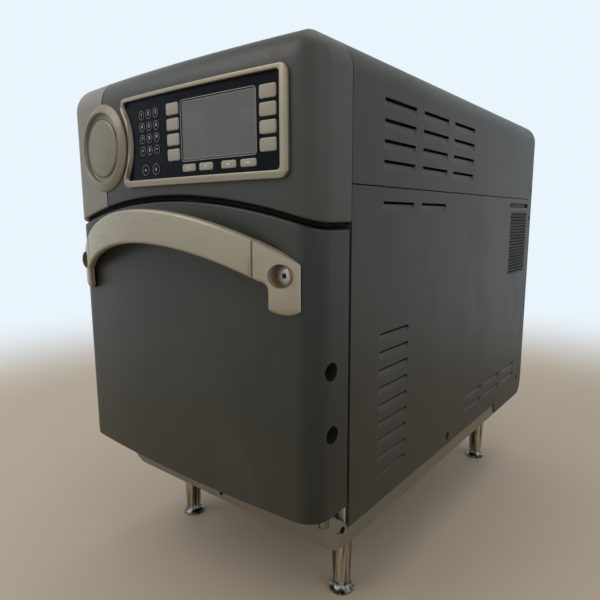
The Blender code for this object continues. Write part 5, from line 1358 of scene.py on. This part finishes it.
joined = punched.add("GeometryNodeJoinGeometry", Geometry=edge)
punched.feed(joined.socket.node.inputs[0], real_circles)
punched.close(punched.add("GeometryNodeFillCurve", Curve=joined))
print(punched.tree.name, "has", len(punched.tree.nodes), "nodes")

HOLE_PITCH = 0.0062
HOLE_ROW = 0.00535
HOLE_RADIUS = 0.0024


def punched_sheet(name, low, high, side):
    """A punched sheet that fills a window of a side panel, flush with its face."""
    width, height = high[0] - low[0], high[1] - low[1]
    columns = int((width - HOLE_PITCH / 2) / HOLE_PITCH)
    rows_up = max(1, int((height - HOLE_RADIUS) / HOLE_ROW))
    item = punched.grow(name, bpy.data.meshes.new(name), Finish=case_paint, Hole=HOLE_RADIUS,
                        Width=width, Columns=columns, Pitch=HOLE_PITCH,
                        Height=height, Rows=rows_up, Row_pitch=HOLE_ROW)
    item.data.transform(to_side(side, HALF, (low[0] + high[0]) / 2, (low[1] + high[1]) / 2))
    return walled(item, SHEET)


for side, name in SIDES:
    item = punched_sheet(f"grille_{name}", GRILLE_LOW, GRILLE_HIGH, side)
    settle(item, grille_paint)

# %% [markdown]
# A dark wall stands a little way behind the grille, and a recessed grey strip fills the slot over it.
# Both are painted darker than the case: painted shade behind the holes and in the slot.

# %% Behind the grille
GRILLE_SHADE_IN, STRIP_IN = 0.0045, 0.0026
BACKING_THICK = 0.0008
for side, name in SIDES:
    for label, inset, low, high in (("duct", GRILLE_SHADE_IN, GRILLE_LOW, GRILLE_HIGH),
                                    ("slot_strip", STRIP_IN, BAND_LOW, BAND_HIGH)):
        margin = SHEET if label == "duct" else -0.0001
        wall = side_block(f"{label}_{name}", side, HALF - inset, HALF - inset - BACKING_THICK,
                          (low[0] - margin, low[1] - margin),
                          (high[0] + margin, high[1] + margin), 0.0002)
        settle(wall, duct_paint)

# %% [markdown]
# The rear panel is a shallow tray. Its rim shows from the side as a narrow strip round the back
# edge, with a rounded lower corner, and its web is set in a little and has vent slots.

# %% Rear panel
RIM_DEPTH = 0.023
RIM_CORNER, RIM_LIFT = 0.0222, 0.036
WEB_RECESS = 0.012
RIM_STEPS = 8
rear_foot = rear_low.z


def rim_loop(inset, y):
    """The rim's outline at a depth: the lower back corner is rounded off."""
    into = max(0.0, y - (REAR - RIM_CORNER))
    lift = RIM_LIFT * (1 - math.sqrt(1 - (into / RIM_CORNER) ** 2))
    foot = rear_foot + inset + lift
    levels = [foot + (TOP - DOME - foot) * i / 12 for i in range(1, 12)]
    return [(x, y, z) for x, z in case_section(inset, foot, levels)]


rim_ys = [REAR - RIM_DEPTH] + [REAR - RIM_CORNER + RIM_CORNER * math.sin(QUARTER * i / RIM_STEPS)
                               for i in range(RIM_STEPS)]
rim_rows = [rim_loop(0, y) for y in rim_ys]
rim_rows += [rim_loop(inset, REAR - short)
             for inset, short in ((0.0002, 0.0006), (0.0007, 0.0001), (SHEET, 0.0003))]
rim_rows += [rim_loop(SHEET, y) for y in (REAR - 0.004, REAR - 0.008, REAR - WEB_RECESS)]
rim = piece_of("rear_rim", skin(rim_rows, ring=True))
RIM_SCREWS = [(SEAM + 0.6275, 0.525, 0.0042), (SEAM + 0.6235, 0.473, 0.0042)]
side_drilled(rim, RIM_SCREWS, 0.01)
settle(rim, case_paint, "oven", ["rear_panel"])

SLOT_LENGTH = 0.11
SLOT_HEIGHT = 0.004
SLOT_PITCH = 0.014
slot_low = TOP - 0.1754
web_loop = case_section(SHEET, rear_foot + SHEET + 0.003)
web_slots = [rectangle((-SLOT_LENGTH / 2, slot_low + r * SLOT_PITCH),
                       (SLOT_LENGTH / 2, slot_low + r * SLOT_PITCH + SLOT_HEIGHT)) for r in range(8)]
web = plate("rear_web", [[(-x, z) for x, z in web_loop]] + web_slots, SHEET,
            facing((0, 1, 0), (0, REAR - WEB_RECESS, 0)))
settle(web, case_paint)
GLAND_X, GLAND_Z = HALF - 0.063, BASE_TOP + 0.056
GLAND_PROFILE = [
    (0.009, 0.001), (0.009, 0), (0.0168, 0), (0.0168, 0.0045), (0.0145, 0.005), (0.0145, 0.0095),
    (0.0135, 0.0104), (0.0098, 0.0104), (0.009, 0.0095), (0.009, 0.001),
]
gland = lathe("cord_gland", GLAND_PROFILE, facing((0, 1, 0), (GLAND_X, REAR - WEB_RECESS, GLAND_Z)))
settle(gland, black_plastic)

# %% [markdown]
# The case is held by dark screws with a cross in their heads. One screw is turned and cut, and the
# copying tree sets it wherever a screw shows, each at its own angle. The larger one on each side is
# a plug that closes a spare hole.

# %% Dark screws and plugs


def screw(name, radius, rise):
    """A pan head about its own axis, with a cross cut in it."""
    head_profile = [(0, rise), (radius * 0.55, rise * 0.92), (radius * 0.85, rise * 0.55),
                    (radius, 0), (radius, -rise), (0, -rise)]
    item = lathe(name, head_profile, Matrix.Identity(4), 28)
    arm, thin = radius * 0.55, radius * 0.13
    for across, up in ((arm, thin), (thin, arm)):
        cut(item, block("cross", (-across, -up, rise * 0.1), (across, up, rise * 2)))
    return item


SUNK = 0.0012
screw_sets = {"rim_screws": (0.0039, [(y, z) for y, z, _ in RIM_SCREWS]),
              "side_plugs": (0.0058, [PLUG_PLACES[0][:2]]),
              "side_screws": (0.0035, [PLUG_PLACES[1][:2]])}
for label, (radius, spots) in screw_sets.items():
    item = copies_of(screw("screw", radius, 0.001), label, side_places(HALF - SUNK, spots), dark_screw,
                     Loose_turn=math.tau)
    settle(item, dark_screw, crisp=30)

DOOR_SCREW, DOOR_SCREW_RISE = 0.0062, 0.0024
cup_bottom = HALF - DOOR_WALL - CUP_DEPTH
door_spots = side_places(cup_bottom + 0.0026, [(SEAM - reach, z) for reach, z in SIDE_HOLES])
item = copies_of(screw("screw", DOOR_SCREW, DOOR_SCREW_RISE), "door_screws", door_spots, dark_screw,
                 Loose_turn=math.tau)
settle(item, dark_screw, "door", crisp=30)

# %% [markdown]
# The base is a stainless tray with a skirt round it. At the front the skirt stands up behind the
# door's lower edge, slopes down round both corners to the side panels, and is cut away at its lower
# left corner. The skirt is one skin whose foot and top follow two rules along its plan. A black
# liner of painted shade stands just behind it, so the holes in the skirt look dark.

# %% Base tray
BASE_FRONT = SEAM - 0.0207
BASE_CORNER = 0.015
BASE_HALF = HALF - SHEET - 0.0003
BASE_FOOT = 0.1236
SKIRT_TOP = 0.1635
SHOULDER = (SEAM - 0.016, 0.160)
SHOULDER_END = (SEAM - 0.001, 0.1485)
CUT_START = -0.133
CUT_BACK = SEAM + 0.04
CUT_RADIUS = 0.034
CUT_REACH = 0.031
base_back = REAR - RIM_DEPTH - PANEL_GAP


def base_corner(inset):
    """The right front corner of the base's plan, from its side round to its front."""
    radius = BASE_CORNER - inset
    centre = (BASE_HALF - inset - radius, BASE_FRONT + inset + radius)
    return arc(centre, radius, 0, -QUARTER, 12)


def lift(reach):
    reach = min(max(reach, 0.0), CUT_REACH)
    return CUT_RADIUS - math.sqrt(CUT_RADIUS ** 2 - reach ** 2)


def skirt_foot(x, y):
    return BASE_FOOT + (min(lift(CUT_START - x), lift(CUT_BACK - y)) if x < 0 else 0.0)


def skirt_top(y):
    if y > SEAM + PANEL_GAP:
        return BASE_TOP
    if y > SHOULDER[0]:
        share = (y - SHOULDER[0]) / (SHOULDER_END[0] - SHOULDER[0])
        return SHOULDER[1] + (SHOULDER_END[1] - SHOULDER[1]) * min(share, 1.0)
    share = (y - SHOULDER[0]) / (BASE_FRONT - SHOULDER[0])
    return SHOULDER[1] + (SKIRT_TOP - SHOULDER[1]) * share ** 0.6


def skirt_plan(inset=0.0):
    """The skirt's line from above, from its right rear end round the front to its left rear end."""
    ys = [base_back] + [CUT_BACK + 0.004 * k for k in range(1, -10, -1)]
    ys += [SEAM + PANEL_GAP * 1.5, SEAM + PANEL_GAP * 0.9, SHOULDER_END[0]]
    right = [(BASE_HALF - inset, y) for y in ys] + base_corner(inset)
    front = [(0.183 - 0.003 * k, BASE_FRONT + inset) for k in range(123)]
    return right + front + [(-x, y) for x, y in reversed(right)]


LINER_FOOT, LINER_TOP = 0.003, BASE_TOP - 0.001
LINER_WALL = 0.0006
skirt_rows = [[(x, y, skirt_foot(x, y) * (1 - k) + skirt_top(y) * k) for x, y in skirt_plan()]
              for k in (0, 0.25, 0.5, 0.75, 1)]
skirt = walled(piece_of("base_skirt", skin(skirt_rows)), SHEET)
# The liner is painted shade: a black sheet behind the skirt.
liner_rows = [[(x, y, (skirt_foot(x, y) + LINER_FOOT) * (1 - k) + LINER_TOP * k)
               for x, y in skirt_plan(SHEET + 0.0004)] for k in (0, 0.5, 1)]
shade_liner = walled(piece_of("base_liner", skin(liner_rows)), LINER_WALL)
settle(shade_liner, deep_black)

# %% [markdown]
# The skirt is slotted for the door's hinge arms and drilled at its corners. The deck that closes it
# is a flat sheet, and two lugs stand on it and carry the hinge pins.

# %% Slots, holes, deck and hinge lugs
HINGE_Y, HINGE_Z = SEAM - 0.025, 0.158
ARM_SLOT = (0.1825, 0.1895)
ARM_SLOT_FOOT = 0.1497
CORNER_HOLES = [((0.201, SEAM - 0.008, 0.144), 0.0041), ((0.1988, SEAM - 0.0139, 0.1422), 0.0011),
                ((0.2012, SEAM + 0.0006, 0.1432), 0.0012)]
hole_shades = []
corner_centre = Vector((BASE_HALF - BASE_CORNER, BASE_FRONT + BASE_CORNER, 0))
arm_low, arm_high = (BASE_FRONT - 0.01, ARM_SLOT_FOOT), (SEAM - 0.012, 0.18)
for side in (-1, 1):
    cut(skirt, side_block("slot", side, *ARM_SLOT, arm_low, arm_high))
    for point, radius in CORNER_HOLES:
        point = Vector(point)
        out = (point - corner_centre) * Vector((1, 1, 0))
        out.normalize()
        ends = [Vector((side * p.x, p.y, p.z)) for p in (point - out * 0.007, point + out * 0.006)]
        cut(skirt, rod("drill", *ends, radius, 20))
        outside = Vector((side * point.x, point.y, point.z))
        hole_shades.append((radius - 0.0001, Vector((side * out.x, out.y, 0)), outside))
front_hole = [(0.0252, BASE_FRONT + reach, 0.1318) for reach in (-0.01, 0.01)]
cut(skirt, rod("drill", *front_hole, 0.0031, 20))
settle(skirt, base_steel, "oven", ["base_pan"])
# Black discs just inside the skirt's corner holes are painted shade, so the holes look dark.
HOLE_SHADE_SINK, HOLE_SHADE_DEEP = 0.0003, 0.003
for number, (radius, out, point) in enumerate(hole_shades):
    profile = [(0, -HOLE_SHADE_SINK), (radius, -HOLE_SHADE_SINK - 0.0006), (radius, -HOLE_SHADE_DEEP), (0, -HOLE_SHADE_DEEP)]
    shade_disc = lathe(f"hole_plug_{number}", profile, facing(out, point), 20)
    settle(shade_disc, deep_black, crisp=30)

deck_inset = SHEET + 0.0003
deck_right = [(BASE_HALF - deck_inset, base_back)] + base_corner(deck_inset)
deck_outline = deck_right + [(-x, y) for x, y in reversed(deck_right)]
deck = plate("base_deck", [deck_outline[::-1]], SHEET, Matrix.Translation((0, 0, BASE_TOP - 0.0003)))
settle(deck, base_steel)

LUG_OUT, PIN_OUT, TAB_OUT = 0.1913, 0.19, 0.1922
LUG_RADIUS, LUG_THICK = 0.008, 0.003
lug_front, lug_back, lug_foot = SEAM - 0.019, SEAM - 0.001, BASE_TOP - 0.001
lug_outline = arc((HINGE_Y, HINGE_Z), LUG_RADIUS, QUARTER, 3 * QUARTER, 12)
lug_outline += [(lug_front, HINGE_Z - LUG_RADIUS), (lug_front, lug_foot),
                (lug_back, lug_foot), (lug_back, HINGE_Z + LUG_RADIUS)]
PIN_PROFILE = [(0, 0.0086), (0.0034, 0.0086), (0.004, 0.008), (0.004, 0), (0, 0)]
for side, name in SIDES:
    outline = [(side * y, z) for y, z in lug_outline]
    lug = plate(f"hinge_lug_{name}", [outline], LUG_THICK, to_side(side, LUG_OUT), 0.0003)
    settle(lug, base_steel)
    tab = side_block(f"corner_tab_{name}", side, TAB_OUT, BASE_HALF - 0.0002,
                     (SEAM - 0.0042, BASE_TOP + 0.0003), (SEAM - 0.0032, HINGE_Z + 0.012), 0.0002)
    settle(tab, tab_steel)
    inward = facing((-side, 0, 0), (side * PIN_OUT, HINGE_Y, HINGE_Z))
    pin = lathe(f"hinge_pin_{name}", PIN_PROFILE, inward, 28)
    settle(pin, screw_steel)

# %% [markdown]
# Each leg is a turned steel tube under a mounting flange, and its foot is a flared cup that screws
# up into it.

# %% Legs and feet
FLARE = 0.0064
for end in ("front", "rear"):
    for name in ("left", "right"):
        low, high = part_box(f"leg_{end}_{name}")
        middle = (low + high) / 2
        place = Matrix.Translation((middle.x, middle.y, 0))
        leg = lathe(f"leg_tube_{end}_{name}", [
            (0, high.z), (0.02, high.z), (0.02, high.z - 0.003), (0.0195, high.z - 0.004),
            (0.0157, high.z - 0.004), (0.0156, high.z - 0.006), (0.0113, low.z + 0.004),
            (0.0111, low.z + 0.0008), (0.0105, low.z), (0.0073, low.z), (0.0073, 0.064), (0, 0.064),
        ], place)
        settle(leg, leg_steel, "oven", [f"leg_{end}_{name}"])
        flare = [(0.0096 + FLARE * k ** 2.4, 0.0118 - 0.0088 * k)
                 for k in (0, 0.2, 0.4, 0.6, 0.8, 0.9, 1.0)]
        foot = lathe(f"foot_cup_{end}_{name}", [
            (0, 0.058), (0.007, 0.058), (0.007, 0.0128), (0.0091, 0.0126), *flare,
            (0.0162, 0.0024), (0.0161, 0.0008), (0.0155, 0), (0, 0),
        ], place)
        settle(foot, foot_steel, f"foot_{end}_{name}_body", [f"foot_{end}_{name}"])

# %% [markdown]
# The handle is an arched bar that stands off the door in a bow of its own. It is cut flat from its
# outline, seen from the front, and then laid on that bow.

# %% Handle bar and ends
HANDLE_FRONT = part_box("handle_bar")[0].y
HANDLE_END = HALF - 0.016
HANDLE_NEAR = HALF - 0.0602
HANDLE_LEG = HANDLE_END - 0.0293
HANDLE_TOP = ARCH_MID - 0.0149
HANDLE_LOW = HANDLE_TOP - 0.0363
HANDLE_FOOT = ARCH_MID - 0.1168
TOP_ARC, LOW_ARC = 0.355, 0.345
HANDLE_THICK = 0.008
end_rise = bow_y(HANDLE_END) - 0.0022 - HANDLE_FRONT
HANDLE_BOW = (HANDLE_END ** 2 + end_rise ** 2) / (2 * end_rise)


def handle_y(x):
    return HANDLE_FRONT + HANDLE_BOW - math.sqrt(HANDLE_BOW ** 2 - x ** 2)


def handle_arc(mid_z, radius, start_x, end_x, steps):
    return arc((0, mid_z - radius), radius, math.acos(start_x / radius), math.acos(end_x / radius), steps)


def laid_on_handle(item, back, crease=None):
    """Moves a flat piece's front to the handle's bow and its back to another curve. Below the
    crease, where there is one, the front slopes back."""
    shape = opened(item)
    in_strips(shape, 0.005, 6)
    if crease:
        sliced(shape, (0, 0, crease), (0, 0, 1))
    for v in shape.verts:
        share = v.co.y / HANDLE_THICK
        front_y = handle_y(v.co.x)
        if crease:
            front_y += HEM_SLOPE * max(0.0, crease - v.co.z)
        v.co.y = front_y + (back(v.co.x) - front_y) * share
    return closed(item, shape)


def rounded_front(item, width, steps=4):
    """Rounds the outline of a flat piece's front face, and leaves its corners square from the front."""
    shape = opened(item)
    rim = [edge for edge in shape.edges if max(v.co.y for v in edge.verts) < MERGE
           and edge.calc_face_angle(0) > QUARTER / 2]
    bmesh.ops.bevel(shape, geom=rim, offset=width, segments=steps, profile=0.5, affect="EDGES")
    return closed(item, shape)


HANDLE_ROUND = 0.0034
END_GAP = 0.00025
half = HANDLE_NEAR - END_GAP
bar_outline = handle_arc(HANDLE_TOP, TOP_ARC, half, -half, 40)
bar_outline += handle_arc(HANDLE_LOW, LOW_ARC, -half, half, 40)
bar = rounded_front(plate("handle_grip", [bar_outline], HANDLE_THICK, to_front()), HANDLE_ROUND)
laid_on_handle(bar, lambda x: handle_y(x) + HANDLE_THICK)
settle(bar, champagne_coat, "door", ["handle_bar"], 50)

# %% [markdown]
# Each end is a flat foot with a round bore, and a button screw with a hexagon socket lies deep in it.
# The foot's lower edge is a shallow arc, and a hem above that edge slopes back towards the door.

# %% Handle ends
LEG_CORNER = 0.0085
FOOT_ARC = 0.025
HEM = 0.0068
HEM_SLOPE = 0.3
BORE_RADIUS = 0.0115
BORE_DEPTH = 0.0078
SCREW_RADIUS, SCREW_DOME, SOCKET = 0.0094, 0.0024, 0.0031
bore_x = HANDLE_END - 0.0168
screw_x = bore_x + 0.0011
bore_z = ARCH_MID - 0.079
end_outline = handle_arc(HANDLE_LOW, LOW_ARC, HANDLE_NEAR + END_GAP, HANDLE_LEG - LEG_CORNER, 6)
inner_z = end_outline[-1][1] - LEG_CORNER
end_outline += arc((HANDLE_LEG - LEG_CORNER, inner_z), LEG_CORNER, QUARTER, 0, 8)[1:]
foot_swing = math.asin((HANDLE_END - HANDLE_LEG) / 2 / FOOT_ARC)
foot_middle = ((HANDLE_END + HANDLE_LEG) / 2, HANDLE_FOOT + FOOT_ARC)
end_outline += arc(foot_middle, FOOT_ARC, -QUARTER - foot_swing, -QUARTER + foot_swing, 16)
end_outline += handle_arc(HANDLE_TOP, TOP_ARC, HANDLE_END, HANDLE_NEAR + END_GAP, 10)
floor_y = handle_y(bore_x) + BORE_DEPTH
SLEEVE_LIP = 0.0006
SLEEVE_PROFILE = [
    (0, 0.0004), (BORE_RADIUS - 0.0008, 0.0004), (BORE_RADIUS - 0.0005, BORE_DEPTH - SLEEVE_LIP),
    (BORE_RADIUS - 0.0001, BORE_DEPTH - SLEEVE_LIP), (BORE_RADIUS - 0.0001, 0.0001), (0, 0.0001),
]
SCREW_PROFILE = [(SCREW_RADIUS * k, 0.0012 + SCREW_DOME * (1 - k ** 3))
                 for k in (0, 0.3, 0.5, 0.7, 0.85, 0.94, 1)] + [(SCREW_RADIUS, 0.0004), (0, 0.0004)]
SOCKET_PROFILE = [(0, 0.0021), (SOCKET * 0.86, 0.0021), (SOCKET * 0.86, 0.0019), (0, 0.0019)]
for side, name in SIDES:
    outline = [(side * x, z) for x, z in end_outline]
    end_piece = plate(f"handle_foot_{name}", [outline], HANDLE_THICK, to_front())
    rounded_front(end_piece, HANDLE_ROUND)
    laid_on_handle(end_piece, lambda x: min(bow_y(x) - 0.0006, handle_y(x) + 1.1 * HANDLE_THICK),
                   HANDLE_FOOT + HEM)
    bore = [(side * bore_x, y, bore_z) for y in (HANDLE_FRONT - 0.01, floor_y)]
    cut(end_piece, rod("bore", *bore, BORE_RADIUS, 48))
    settle(end_piece, champagne_coat, "door", [f"handle_end_{name}"], 40)

    sleeve = lathe(f"bore_sleeve_{name}", SLEEVE_PROFILE, to_front(floor_y, side * bore_x, bore_z))
    settle(sleeve, bore_coat, "door", crisp=30)
    seat = to_front(floor_y, side * screw_x, bore_z)
    button = lathe(f"handle_screw_{name}", SCREW_PROFILE, seat)
    socket = [(side * screw_x, floor_y - depth, bore_z) for depth in (0.0018, 0.01)]
    cut(button, rod("socket", *socket, SOCKET, 6))
    settle(button, screw_steel, "door", crisp=30)
    # A black disc on the socket's floor is painted shade.
    socket_shade = lathe(f"socket_floor_{name}", SOCKET_PROFILE, seat, 6)
    settle(socket_shade, deep_black, "door")

# %% [markdown]
# The rest of the frame keeps its own shapes and only gets its finishes.

# %% Finishes on the frame's own pieces
FRAME_FINISHES = {
    "blower_wheel": galvanised, "blower_motor": galvanised, "magnetron": galvanised,
    "transformer": copper_winding, "cooling_fan": black_plastic, "control_board": board_green,
    "cavity_liner": cavity_steel, "jet_plate": cavity_steel, "cooking_rack": polished_steel,
    "door_inner_frame": frame_steel, "door_gasket": seal_rubber,
}
for name, finish in FRAME_FINISHES.items():
    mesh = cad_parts[name].data
    mesh.materials.clear()
    mesh.materials.append(finish)
print("the frame's own pieces with a finish:", ", ".join(FRAME_FINISHES))

# %% [markdown]
# The studio is a pale, slightly warm floor that fades into a bluish white backdrop, lit by large
# soft lamps and a dimmer sky. The camera, and anything shiny, sees the backdrop itself, with a
# darker ceiling high above it.

# %% Floor
FLOOR_SIZE = 6.0
FADE_START, FADE_END = 0.9, 2.2
BACKDROP = (0.82, 0.905, 0.973)
shape = bmesh.new()
bmesh.ops.create_grid(shape, x_segments=8, y_segments=8, size=FLOOR_SIZE)
floor = piece_of("floor", shape)
floor_finish = Finish("floor_finish", Roughness=0.7)
pebble = floor_finish.step(floor_finish.noise(180, 3), 0.62, 0.7)
near_tone = floor_finish.mix(pebble * 0.22, (0.44, 0.37, 0.285), (0.34, 0.29, 0.23))
away = floor_finish.add("VectorMath", {"operation": "LENGTH"}, output="Value", Vector=floor_finish.place)
fade = floor_finish.step(away, FADE_START, FADE_END)
floor_finish.look(Base_Color=floor_finish.mix(fade, near_tone, (0.8, 0.8, 0.79)))
far_glow = floor_finish.add("Emission", Color=BACKDROP)
blend = floor_finish.tree.nodes.new("ShaderNodeMixShader")
floor_finish.feed(blend.inputs[0], fade * floor_finish.seen())
floor_finish.tree.links.new(floor_finish.shader.outputs[0], blend.inputs[1])
floor_finish.feed(blend.inputs[2], far_glow)
surface = floor_finish.tree.nodes["Material Output"].inputs["Surface"]
floor_finish.tree.links.new(blend.outputs[0], surface)
floor.data.materials.append(floor_finish.material)
print(f"floor {2 * max(v.co.x for v in floor.data.vertices):.0f} m wide, fading from {FADE_START} m")

# %% [markdown]
# Three large lamps light the oven. The one from the upper left is the main one, the one on the right
# lifts the side panel out of the shade, and the one above lights the tops.

# %% Lamps
AIM = Vector((0, 0, 0.35))
LAMPS = (
    ("key", (-1.2, -2.0, 2.6), 2.2, 34.0),
    ("side", (2.6, -0.2, 2.0), 2.4, 12.5),
    ("top", (0.2, 0.6, 3.2), 2.4, 24.0),
)
for name, place, size, power in LAMPS:
    lamp = bpy.data.lights.new(f"lamp_{name}", "AREA")
    lamp.size = size
    lamp.energy = power
    item = add_piece(f"lamp_{name}", lamp)
    item.matrix_world = facing(Vector(place) - AIM, place)
print("lamps:", ", ".join(f"{name} {power} W" for name, _, _, power in LAMPS))

# %% [markdown]
# The sky is two things at once. Light that only fills in comes from a plain soft grey, and the camera
# or a shiny face sees the backdrop with the ceiling above it.

# %% Backdrop and sky
SKY = (0.6, 0.6, 0.585)
CEILING = (0.3, 0.32, 0.33)
world = bpy.data.worlds.new("sky")
bpy.context.scene.world = world
world.use_nodes = True
sky = Shades(world.node_tree)
rise = sky.add("SeparateXYZ", output=2, Vector=sky.add("TexCoord", output="Generated"))
room = sky.mix(sky.step(rise, 0.5, 0.8), BACKDROP, CEILING)
sky.feed(world.node_tree.nodes["Background"].inputs["Color"], sky.mix(sky.seen(), SKY, room))
print("backdrop", BACKDROP, "sky", SKY)
